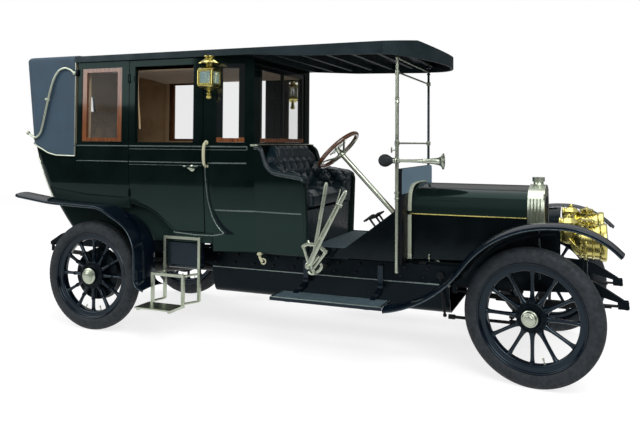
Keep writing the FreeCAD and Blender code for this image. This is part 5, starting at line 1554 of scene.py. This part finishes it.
# the spark and throttle levers over the wheel: (degrees round, length)
SPARK_LEVERS = ((60, 0.108), (125, 0.104), (20, 0.082), (160, 0.082))
rim_reach = 0.190
steering_axis = Vector(joints["steering_turn"]["axis"]).normalized()
steering_place = facing(Vector(joints["steering_turn"]["pos_m"]), steering_axis, ACROSS)
rim_shape = Shape()
rim_shape.tube([steering_place @ polar(angle, rim_reach) for angle in turns(72)], 0.0165, 14, closed=True)
stand_in("steering_wheel", "steering_rim", rim_shape, "rim_wood", "steering_wheel", 80.0)
spider = Shape()
for angle in turns(4, 0.5):
    line = smooth_line([steering_place @ polar(angle, out, drop) for out, drop in STEERING_SPOKE], 4)
    spider.tube(line, run(0.0125, 0.0075, len(line) - 1), 10, flat=0.6, up=steering_axis)
    spider.lathe(steering_place @ polar(angle, 0.183, -0.012), STEERING_SPOKE_FOOT, 16, steering_axis)
spider.revolve(STEERING_HUB, steering_place, 32)
piece("steering_spider", spider, "nickel", "steering_wheel")
fixed = Shape()
sector = [steering_place @ polar(math.radians(degrees), 0.082, 0.026) for degrees in run(20, 160, 14)]
fixed.tube(sector, 0.0055, 8, flat=0.6, up=steering_axis)
for degrees, reach in SPARK_LEVERS:
    line = [
        steering_place @ polar(math.radians(degrees), out, 0.022 + out * 0.06)
        for out in (0.0, 0.04, 0.07, reach)]
    fixed.tube(line, 0.0046, 8, flat=0.6, up=steering_axis)
    fixed.ball(line[-1], 0.0075)
piece("spark_levers", fixed, "nickel")


# ---- hand levers ---------------------------------------------------------------------
# lines of (ahead, up) with the bar's width at each point
GEAR_LINE = ((1.902, 0.660), (1.928, 0.760), (1.945, 0.860), (1.975, 1.030), (1.999, 1.160), (2.012, 1.236))
GEAR_WIDTHS = (0.028, 0.028, 0.027, 0.026, 0.026, 0.026)
BRAKE_LINE = (
    (1.892, 0.636), (1.935, 0.728), (1.990, 0.838), (2.055, 0.960), (2.110, 1.066), (2.150, 1.138),
    (2.176, 1.186))
BRAKE_WIDTHS = (0.036, 0.034, 0.032, 0.030, 0.028, 0.028, 0.026)
GRIP_LINE = ((2.136, 1.206), (2.124, 1.160), (2.108, 1.112), (2.112, 1.090))
GRIP_CLIP = ((2.105, 1.098), (2.128, 1.090), (2.152, 1.083))
PAWL_ROD = ((2.108, 1.090), (2.040, 0.962), (1.975, 0.842), (1.945, 0.786))
PAWL = ((1.880, 0.826), (1.890, 0.800), (1.906, 0.784))
QUADRANT_ARC = ((1.838, 0.776), (1.878, 0.797), (1.930, 0.796), (1.985, 0.776), (2.026, 0.744))
FOOT_CRANK = ((1.900, 0.636), (1.930, 0.596), (1.962, 0.606), (1.984, 0.640), (1.976, 0.664))
CROSS_SHAFT = (
    (1.892, -0.655, 0.640), (1.905, -0.610, 0.600), (1.925, -0.520, 0.600), (1.930, -0.425, 0.605))
LOWER_LINK = ((1.940, -0.660, 0.600), (1.930, -0.655, 0.585), (1.900, -0.655, 0.583), (1.884, -0.655, 0.600))
# shares of a boss's length and radius
BOSS = ((0, 0), (0, 1), (0.7, 1), (0.75, 0.7), (0.9, 0.66), (1, 0.5), (1, 0))
pivot = (1.892, 0.640)
QUADRANT_STAYS = (
    (pivot, (1.846, 0.776)), ((1.930, 0.630), (2.020, 0.750)), ((1.902, 0.640), (1.966, 0.716)))
gear_y, brake_y, rod_y, quadrant_y = -0.640, -0.684, -0.697, -0.662


def flat_bar(shape, points, y, width, thick):
    """A flat bar on edge in a plane of constant y, along points of (ahead, up)."""
    widths = width if isinstance(width, (list, tuple)) else [width] * len(points)
    share = thick / (sum(widths) / len(widths)) * 0.92
    shape.tube([at(a, y, b) for a, b in points], [w * 0.58 for w in widths], 8, flat=share, up=ACROSS)


def boss(shape, ahead, up, y, radius, length):
    """A turned boss across the car with a nut on its outer end."""
    shape.lathe(at(ahead, y, up), [(a * length, r * radius) for a, r in BOSS], 24, -ACROSS)


levers = Shape()
flat_bar(levers, GEAR_LINE, gear_y, GEAR_WIDTHS, 0.011)
levers.ball(at(2.012, gear_y, 1.238), 0.0125, (1.0, 0.7, 1.0))
flat_bar(levers, BRAKE_LINE, brake_y, BRAKE_WIDTHS, 0.011)
levers.ball(at(2.177, brake_y, 1.188), 0.013, (1.0, 0.7, 1.0))
flat_bar(levers, GRIP_LINE, brake_y, 0.010, 0.008)
flat_bar(levers, GRIP_CLIP, brake_y, 0.020, 0.016)
flat_bar(levers, PAWL_ROD, rod_y, 0.009, 0.008)
for ahead, up in ((2.062, 0.984), (1.990, 0.852)):
    boss(levers, ahead, up, -0.680, 0.011, 0.024)
stand_in("hand_levers", "hand_levers_bars", levers, "nickel")
quadrant = Shape()
for y in (-0.654, -0.671):
    flat_bar(quadrant, smooth_line(QUADRANT_ARC, 6), y, 0.020, 0.006)
for foot, head in QUADRANT_STAYS:
    flat_bar(quadrant, run(Vector(foot), Vector(head), 2), quadrant_y, 0.018, 0.010)
flat_bar(quadrant, PAWL, quadrant_y, 0.014, 0.012)
boss(quadrant, pivot[0], pivot[1], -0.600, 0.030, 0.104)
boss(quadrant, 1.846, 0.776, -0.648, 0.013, 0.032)
boss(quadrant, 2.020, 0.750, -0.648, 0.013, 0.032)
flat_bar(quadrant, smooth_line(FOOT_CRANK, 6), -0.652, 0.020, 0.012)
quadrant.tube(smooth_line([at(*point) for point in CROSS_SHAFT], 6), 0.016, 12)
quadrant.tube(smooth_line([at(*point) for point in LOWER_LINK], 5), 0.010, 10)
piece("lever_quadrant", quadrant, "nickel")


# ---- windscreen posts ----------------------------------------------------------------
POST_TOP, POST_FOOT = 2.188, 0.612
NEAR_POST = (
    (POST_FOOT, 0), (POST_FOOT, 0.010), (0.616, 0.0135), (1.132, 0.0135), (1.136, 0.0175), (1.142, 0.0175),
    (1.146, 0.0145), (1.172, 0.0145), (1.176, 0.0185), (1.186, 0.0185), (1.190, 0.0135), (1.300, 0.0135),
    (1.820, 0.0130), (1.824, 0.0165), (1.832, 0.0165), (1.836, 0.0145), (1.852, 0.0145), (1.856, 0.0165),
    (1.862, 0.0165), (1.866, 0.0125), (2.140, 0.0125), (2.146, 0.0180), (2.152, 0.0180), (2.156, 0.0130),
    (2.176, 0.0130), (2.180, 0.0220), (POST_TOP, 0.0230), (POST_TOP, 0))
FAR_POST = (
    (POST_FOOT, 0), (POST_FOOT, 0.010), (0.616, 0.011), (1.500, 0.0105), (2.120, 0.0100), (2.124, 0.0150),
    (2.132, 0.0150), (2.136, 0.0110), (2.176, 0.0110), (2.180, 0.0200), (POST_TOP, 0.0200), (POST_TOP, 0))
POST_CLIP = ((-0.018, 0), (-0.018, 0.014), (-0.014, 0.0175), (0.014, 0.0175), (0.018, 0.014), (0.018, 0))
THUMB_SCREW = ((0, 0), (0, 0.006), (0.014, 0.0055), (0.016, 0.010), (0.022, 0.010), (0.024, 0))
THUMB_WING = ((-0.020, 0.024), (-0.008, 0.026), (0.008, 0.026), (0.020, 0.024))
near_y, far_y = -0.520, 0.520
posts = Shape()
posts.lathe(at(post_ahead, near_y, 0), NEAR_POST, 20)
for up in (1.535, 2.045):
    posts.rod(at(post_ahead, near_y, up), at(post_ahead, far_y, up), 4, 0.0070, 10)
    for y in (near_y, far_y):
        posts.lathe(at(post_ahead, y, up), POST_CLIP, 20)
thumb = facing(at(post_ahead - 0.012, near_y - 0.010, 1.486), Vector((-1, -0.3, 0)))
posts.revolve(THUMB_SCREW, thumb, 16)
posts.tube([thumb @ Vector((0, y, z)) for y, z in THUMB_WING], 0.0045, 8)
posts.tube([at(post_ahead, y, 2.148) for y in (-0.505, -0.2, 0.2, 0.505)], 0.0065, 8)
stand_in("front_posts", "front_post_near", posts, "nickel")
# the far post in the darkened nickel: painted shade
far = Shape()
far.lathe(at(post_ahead, far_y, 0), FAR_POST, 20)
piece("front_post_far", far, "shaded_nickel")


# ---- radiator, bonnet strap and fittings ----------------------------------------------
RADIATOR_CAP = (
    (1.228, 0), (1.228, 0.038), (1.234, 0.041), (1.240, 0.036), (1.256, 0.0345), (1.262, 0.0405),
    (1.266, 0.0415), (1.282, 0.0415), (1.286, 0.039), (1.290, 0.028), (1.2915, 0))
low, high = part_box("radiator")
core_half, core_top = 0.300, 1.190
fins = Shape()
for y in run(-core_half, core_half, 24):
    fins.block(
        (high[0] - 0.006, y - 0.0022, low[2] + 0.080), (high[0] - 0.0006, y + 0.0022, core_top), bevel=0.001)
for up in run(low[2] + 0.09, core_top - 0.010, 25):
    fins.block(
        (high[0] - 0.0045, -core_half - 0.002, up - 0.0012),
        (high[0] - 0.0010, core_half + 0.002, up + 0.0012), bevel=0.0005)
piece("radiator_fins", fins, "axle")
reeds = Shape()
for side in (-1, 1):
    for k in range(4):
        foot = Vector((low[0] + 0.022 * (k + 1), side * (0.3505 if k else 0.350), 0.66))
        reeds.rod(foot, foot + UP * 0.50, 6, 0.0042)
piece("radiator_reeds", reeds, "nickel")
cap = Shape()
cap.lathe(AHEAD * (low[0] + high[0]) / 2, RADIATOR_CAP, 48, wave=fluting(24, 0.0012, (6, 7)))
piece("radiator_cap_detail", cap, "nickel")

bonnet_half = 0.3285
STRAP_HALF = (
    (bonnet_half, 1.022), (0.3245, 1.100), (0.300, 1.172), (0.245, 1.212), (0.160, 1.229), (0.0, 1.2345))
STRAP_SECTION = (
    (-0.014, 0.0005), (-0.014, 0.0045), (-0.010, 0.0062), (0.010, 0.0062), (0.014, 0.0045), (0.014, 0.0005))
CATCH_STUD = ((0, 0), (0, 0.010), (0.004, 0.009), (0.010, 0.005), (0.014, 0.006), (0.014, 0))
CATCH_PIN = ((0, 0), (0, 0.010), (0.004, 0.009), (0.012, 0.005), (0.012, 0))
strap_x, strap_foot = 2.552, 0.690
leaf_hinge_z = joints["bonnet_right_hinge"]["pos_m"][2]
knuckle_from, knuckle_pitch = 2.556, 0.0685


def strap_run(shape, line):
    """A flat strap along a line across the bonnet, its face away from the bonnet's middle.

    It is pared thin near the leaf's hinge, where the open leaf comes close."""
    middle = at(strap_x, 0, 0.9)
    rings = []
    for i, point in enumerate(line):
        way = (line[min(len(line) - 1, i + 1)] - line[max(0, i - 1)]).normalized()
        out = Vector((0, -way.z, way.y))
        if out.dot(point - middle) < 0:
            out = -out
        share = min(1.0, 0.10 + abs(point.z - leaf_hinge_z) / 0.045)
        rings.append([point + AHEAD * along + out * lift * share for along, lift in STRAP_SECTION])
    shape.skin(rings)


def strap_tail(side):
    """The strap's end and its clip, which swing up with the leaf as when it is undone."""
    shape = Shape()
    foot = at(strap_x, side * bonnet_half, strap_foot)
    strap_run(shape, run(foot, foot + UP * (leaf_hinge_z - 0.006 - strap_foot), 24))
    clip_y = side * (bonnet_half + 0.003)
    shape.block(
        at(strap_x - 0.016, clip_y - 0.005, strap_foot - 0.004),
        at(strap_x + 0.016, clip_y + 0.005, strap_foot + 0.030), bevel=0.003)
    return shape


def bonnet_catch(side):
    """The turn catch and the pin near the foot of a bonnet leaf."""
    shape = Shape()
    way = ACROSS * side
    place = facing(at(2.698, side * 0.3275, 0.700), way)
    lever = [place @ Vector((0.004 * math.sin(k), -0.022 + 0.011 * k, 0.010)) for k in range(5)]
    shape.tube(lever, 0.0046, 8)
    shape.revolve(CATCH_STUD, place, 18)
    shape.ball(place @ Vector((0.002, 0.026, 0.010)), 0.0068)
    shape.lathe(at(3.230, side * 0.3275, 0.700), CATCH_PIN, 18, way)
    return shape


strap = Shape()
half_strap = smooth_line([at(strap_x, -y, z) for y, z in STRAP_HALF], 5)
half_strap = [p for p in half_strap if p.z > leaf_hinge_z + 0.006]
strap_run(strap, half_strap + [Vector((p.x, -p.y, p.z)) for p in reversed(half_strap[:-1])])
piece("bonnet_strap", strap, "strap")
for name, side in SIDES:
    piece(f"bonnet_strap_tail_{name}", strap_tail(side), "strap", f"bonnet_side_{name}")
for name, side in SIDES:
    piece(f"bonnet_catch_{name}", bonnet_catch(side), "nickel", f"bonnet_side_{name}")
    hinge = Shape()
    for k in range(12):
        start = at(knuckle_from + 0.001 + knuckle_pitch * k, side * 0.3265, 1.0185)
        hinge.rod(start, start + AHEAD * (knuckle_pitch - 0.002), 3, 0.0052, 10)
    piece(f"bonnet_hinge_{name}", hinge, "brass")


# ---- petcock, oil gun and running gear furniture --------------------------------------
TAP = ((-0.006, 0), (-0.006, 0.019), (0.0, 0.022), (0.012, 0.018), (0.016, 0.010), (0.016, 0))
TAP_SPOUT = ((0.0, 0.0, -0.004), (0.004, 0, -0.026), (0.014, 0, -0.044), (0.024, 0, -0.060))
GUN_BARREL = ((1.640, 0.700), (1.642, 0.700), (1.768, 0.702), (1.770, 0.702))
GUN_ROD = ((1.556, 0.697), (1.600, 0.698), (1.642, 0.699))
gun_y = -0.486
tap = at(1.404, -0.492, 0.668)
fitting = Shape()
fitting.tube([at(x, gun_y, z) for x, z in GUN_BARREL], [0.017, 0.0195, 0.0195, 0.017], 16)
fitting.tube([at(x, gun_y, z) for x, z in GUN_ROD], 0.0035, 8)
fitting.ball(at(1.556, gun_y, 0.697), 0.007)
for x in (1.665, 1.745):
    fitting.block(at(x - 0.006, gun_y - 0.006, 0.688), at(x + 0.006, -0.425, 0.700), bevel=0.002)
fitting.lathe(tap, TAP, 24, Vector((0, -0.3, 1)))
fitting.tube(smooth_line([tap + Vector(p) for p in TAP_SPOUT], 5), 0.0115, 12)
handle = tap + Vector((0.034, 0, -0.054))
ring = [handle + Vector((0.020 * math.cos(angle), 0, 0.020 * math.sin(angle))) for angle in turns(20)]
fitting.tube(ring, 0.0058, 8, closed=True)
fitting.rod(tap + ACROSS * 0.002, tap + ACROSS * 0.070, 1, 0.009, 10)
piece("petcock_and_gun", fitting, "ivory")


# ---- front valances and bonnet sills ---------------------------------------------------
valance_from, valance_to = 2.860, 3.575
rail_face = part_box("chassis_frame")[1][1]


def front_fender_z(ahead):
    """Height of the front fender's middle line."""
    line = finer(rounded(FRONT_FENDER, 0.05), 0.03)
    return min(line, key=lambda p: abs(p.x - ahead)).y


def valance_ring(ahead, side):
    """One section of the apron between the chassis rail and the front fender."""
    top = front_fender_z(ahead)
    foot = min(0.600, top - 0.060)
    face = (
        (rail_face + 0.0035, foot), (rail_face + 0.0035, (foot + top) / 2),
        (rail_face + 0.006, max(foot, top - 0.110)), (rail_face + 0.024, top - 0.062),
        (rail_face + 0.070, top - 0.030), (front_fender_in + 0.012, top - 0.010))
    outer = [at(ahead, side * y, z) for y, z in face]
    return outer + [at(ahead, side * (y - 0.0015), z + 0.002) for y, z in reversed(face)]


for name, side in SIDES:
    apron = Shape()
    apron.skin([valance_ring(ahead, side) for ahead in run(valance_from, valance_to, 30)])
    piece(f"front_valance_{name}", apron, "chassis", sharp=60.0)
    sill = Shape()
    faces = sorted((side * 0.334, side * 0.352))
    sill.block(at(2.548, faces[0], 0.604), at(3.374, faces[1], 0.681), bevel=0.004)
    piece(f"bonnet_sill_{name}", sill, "dark")


# ---- capping, undertray line, rail bolts and the step's ribs -----------------------------
BOLT = (
    (0, 0), (0, 0.0105), (0.0025, 0.0105), (0.003, 0.0075), (0.008, 0.0072), (0.0095, 0.004), (0.0095, 0))
bolt_from, bolt_pitch = 0.98, 0.17
board_top, board_width, rib_count = 0.4310, 0.230, 15
capping = Shape()
capping.tube([at(1.392, y, 1.517) for y in (-0.556, -0.3, 0.0, 0.3, 0.556)], 0.0125, 10, flat=0.5, up=UP)
for side in (-1, 1):
    capping.tube([at(x, side * (wall_y(x, 1.49) + 0.001), 1.512) for x in run(1.355, 1.419, 8)], 0.008, 10)
piece("seat_back_capping", capping, "nickel")

tray_low, tray_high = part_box("undertray")
bead = Shape()
for side in (-1, 1):
    start = Vector((tray_low[0] + 0.01, side * (tray_high[1] + 0.0035), tray_high[2] - 0.006))
    bead.rod(start, start + AHEAD * (tray_high[0] - tray_low[0] - 0.02), 12, 0.0048)
piece("undertray_bead", bead, "trim")

bolts = Shape()
for side in (-1, 1):
    for k in range(11):
        for up, further in ((0.575, 0.0), (0.640, 0.03)):
            seat = at(bolt_from + bolt_pitch * k + further, side * (rail_face - 0.0005), up)
            bolts.lathe(seat, BOLT, 6 if k % 3 else 14, ACROSS * side)
piece("rail_bolts", bolts, "axle")

board_low, board_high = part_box("step_boards")
back, front = board_low[0] + 0.005, board_high[0] - 0.005
rib_points = (board_low[0] + 0.016, board_low[0] + 0.4, board_high[0] - 0.016)
ribs = Shape()
edging = Shape()
for side in (-1, 1):
    outer = side * (board_high[1] - 0.006)
    inner = side * (board_high[1] - board_width + 0.010)
    for k in range(rib_count):
        y = inner + (outer - inner) * (k + 0.5) / rib_count
        ribs.tube([Vector((x, y, board_top)) for x in rib_points], 0.0042, 6, flat=0.6, up=UP)
    corners = ((back, inner), (back, outer), (front, outer), (front, inner))
    edging.tube(finer([Vector((x, y, board_top)) for x, y in corners], 0.1), 0.0060, 8)
piece("step_ribs", ribs, "mat")
piece("step_edging", edging, "trim")


# ---- inside of the body ----------------------------------------------------------------
DOME = (
    (0.0, 0), (0.0, 0.055), (-0.008, 0.058), (-0.014, 0.050), (-0.030, 0.036), (-0.038, 0.012),
    (-0.040, 0))
PULL_STRAP = ((0.0, 0.566, 2.10), (0.0, 0.560, 1.92), (0.010, 0.552, 1.74), (0.014, 0.548, 1.64))
lining_thick, least_strip = 0.006, 0.012
ceiling_half, ceiling_up, ceiling_rise, ceiling_thick = 0.560, 2.123, 0.030, 0.005


def lining_panel(side, inner, ahead, up, hole_ahead, hole_up):
    """A lining panel on the inner face of a wall, with a window left out of it."""
    shape = Shape()
    spans = (
        (ahead[0], hole_ahead[0], up[0], up[1]), (hole_ahead[1], ahead[1], up[0], up[1]),
        (hole_ahead[0], hole_ahead[1], up[0], hole_up[0]), (hole_ahead[0], hole_ahead[1], hole_up[1], up[1]))
    faces = sorted((side * inner, side * (inner - lining_thick)))
    for start, end, low, high in spans:
        if min(end - start, high - low) >= least_strip:
            shape.block(at(start, faces[0], low), at(end, faces[1], high), bevel=0.002)
    return shape


def ceiling_ring(ahead):
    """One section across the arched ceiling, its upper face and then its lower one."""
    arch = [(ceiling_half * k, ceiling_up + ceiling_rise * (1 - k * k)) for k in run(-1.0, 1.0, 20)]
    upper = [at(ahead, y, z + ceiling_thick) for y, z in arch]
    return upper + [at(ahead, y, z) for y, z in reversed(arch)]


for name, side in SIDES:
    window = ((-0.168, 0.194), (1.545, 2.125))
    panel = lining_panel(side, 0.583, (-0.215, 0.272), (1.160, 2.130), *window)
    piece(f"quarter_lining_{name}", panel, "lining")
    no_window = ((0.4, 0.4), (1.5, 1.5))
    panel = lining_panel(side, 0.5685, (0.335, 0.925), (0.900, 1.520), *no_window)
    piece(f"door_lining_{name}", panel, "lining", f"rear_door_{name}")
ceiling = Shape()
ceiling.skin([ceiling_ring(ahead) for ahead in run(-0.215, 1.315, 20)])
piece("ceiling_lining", ceiling, "lining", sharp=60.0)
dome = Shape()
dome.lathe(at(0.60, 0, 2.153), DOME, 32)
piece("dome_light", dome, "ivory")
pulls = Shape()
for name, side in SIDES:
    for start in (0.245, 0.300):
        line = smooth_line([at(start + ahead, side * y, up) for ahead, y, up in PULL_STRAP], 6)
        pulls.tube(line, 0.011, 8, flat=0.25, up=AHEAD)
piece("pull_straps", pulls, "lining")


# ---- floor, light and camera ---------------------------------------------------------
floor_size, floor_grey, floor_light = 25.0, 0.36, 0.74
# in mirrors the floor is a white strip round the car: bright, then dim, and where it ends in metres
strip_bright, strip_dim, strip_from, strip_to = 1.0, 0.07, 5.0, 5.6
# what mirrors see of the world: (height as a share, brightness)
SKY = ((0.0, 0.07), (0.16, 0.10), (0.42, 0.62), (1.0, 0.95))
light_on_surfaces = 0.62
LAMPS = (
    # name, place, size in metres, watts
    ("key_lamp", (4.5, -6.0, 6.0), 5.0, 430), ("fill_lamp", (-6.0, -5.0, 4.5), 5.0, 220),
    ("top_lamp", (0.0, 1.0, 7.5), 7.0, 300),
)
camera_place = (2.1645, -5.1746, 1.5352)
camera_heading, camera_rise, camera_roll = math.radians(21.5225), math.radians(1.5), -0.0062
camera_lens, camera_shift = 37.6344, -0.1387


def studio_floor():
    """A pale floor that keeps the shadow and mirrors as white in the paint."""
    bpy.ops.mesh.primitive_plane_add(size=floor_size, location=(0, 0, 0))
    floor = bpy.context.object
    floor.name = "studio_floor"
    s = Shader("studio_floor")
    s.set(Base_Color=(floor_grey, floor_grey, floor_grey, 1), Roughness=0.9, Specular_IOR_Level=0.0)
    rays = s.add("ShaderNodeLightPath").outputs
    seen = s.math("MAXIMUM", rays["Is Camera Ray"], rays["Is Transmission Ray"])
    s.set(Emission_Color=(1, 1, 1, 1), Emission_Strength=s.math("MULTIPLY", seen, floor_light))
    split = s.add("ShaderNodeSeparateXYZ", Vector=s.place)
    out = s.math("ABSOLUTE", split.outputs["Y"])
    strip = s.ramp(s.math("DIVIDE", out, 10.0), strip_bright, strip_dim, strip_from / 10.0, strip_to / 10.0)
    mirrored = s.add("ShaderNodeEmission", Color=(1, 1, 1, 1), Strength=strip)
    mixed = s.add("ShaderNodeMixShader", Fac=rays["Is Glossy Ray"])
    s.tree.links.new(s.surface.outputs[0], mixed.inputs[1])
    s.tree.links.new(mirrored.outputs[0], mixed.inputs[2])
    s.tree.links.new(mixed.outputs[0], s.tree.nodes["Material Output"].inputs["Surface"])
    floor.data.materials.append(s.material)


def studio_world():
    """White to the eye and through glass; to mirrors dark at the horizon and bright overhead."""
    world = bpy.data.worlds.new("studio")
    bpy.context.scene.world = world
    world.use_nodes = True
    tree = world.node_tree
    background = tree.nodes["Background"]
    background.inputs["Color"].default_value = (1, 1, 1, 1)
    rays = tree.nodes.new("ShaderNodeLightPath").outputs
    place = tree.nodes.new("ShaderNodeTexCoord").outputs["Generated"]
    split = tree.nodes.new("ShaderNodeSeparateXYZ")
    tree.links.new(place, split.inputs["Vector"])
    height = tree.nodes.new("ShaderNodeValToRGB")
    tree.links.new(split.outputs["Z"], height.inputs["Fac"])
    ramp = height.color_ramp
    for _ in SKY[2:]:
        ramp.elements.new(0.5)
    for element, (where, level) in zip(ramp.elements, SKY):
        element.position = where
        element.color = (level, level, level, 1)

    def mixed(factor, low, high):
        node = tree.nodes.new("ShaderNodeMix")
        for name, value in (("Factor", factor), ("A", low), ("B", high)):
            socket = node.inputs[name]
            if isinstance(value, float):
                socket.default_value = value
            else:
                tree.links.new(value, socket)
        return node.outputs["Result"]

    strength = mixed(rays["Is Glossy Ray"], light_on_surfaces, height.outputs["Color"])
    strength = mixed(rays["Is Transmission Ray"], strength, 1.0)
    strength = mixed(rays["Is Camera Ray"], strength, 1.0)
    tree.links.new(strength, background.inputs["Strength"])


def studio_lamps():
    """Three large soft lamps, pointed at the middle of the car."""
    for name, place, size, power in LAMPS:
        lamp = bpy.data.lights.new(name, "AREA")
        lamp.energy = power
        lamp.size = size
        holder = bpy.data.objects.new(name, lamp)
        holder.location = place
        holder.rotation_euler = (Vector((0, 0, 1.0)) - Vector(place)).to_track_quat("-Z", "Y").to_euler()
        bpy.context.scene.collection.objects.link(holder)


def camera():
    """The viewpoint: standing height, on the car's right and ahead of its middle."""
    data = bpy.data.cameras.new("camera")
    holder = bpy.data.objects.new("camera", data)
    bpy.context.scene.collection.objects.link(holder)
    holder.location = camera_place
    holder.rotation_euler = (math.pi / 2 + camera_rise, camera_roll, camera_heading)
    data.lens = camera_lens
    data.shift_y = camera_shift
    data.clip_end = 200.0
    bpy.context.scene.camera = holder


studio_floor()
studio_world()
studio_lamps()
camera()
bpy.context.scene.view_settings.view_transform = "Standard"
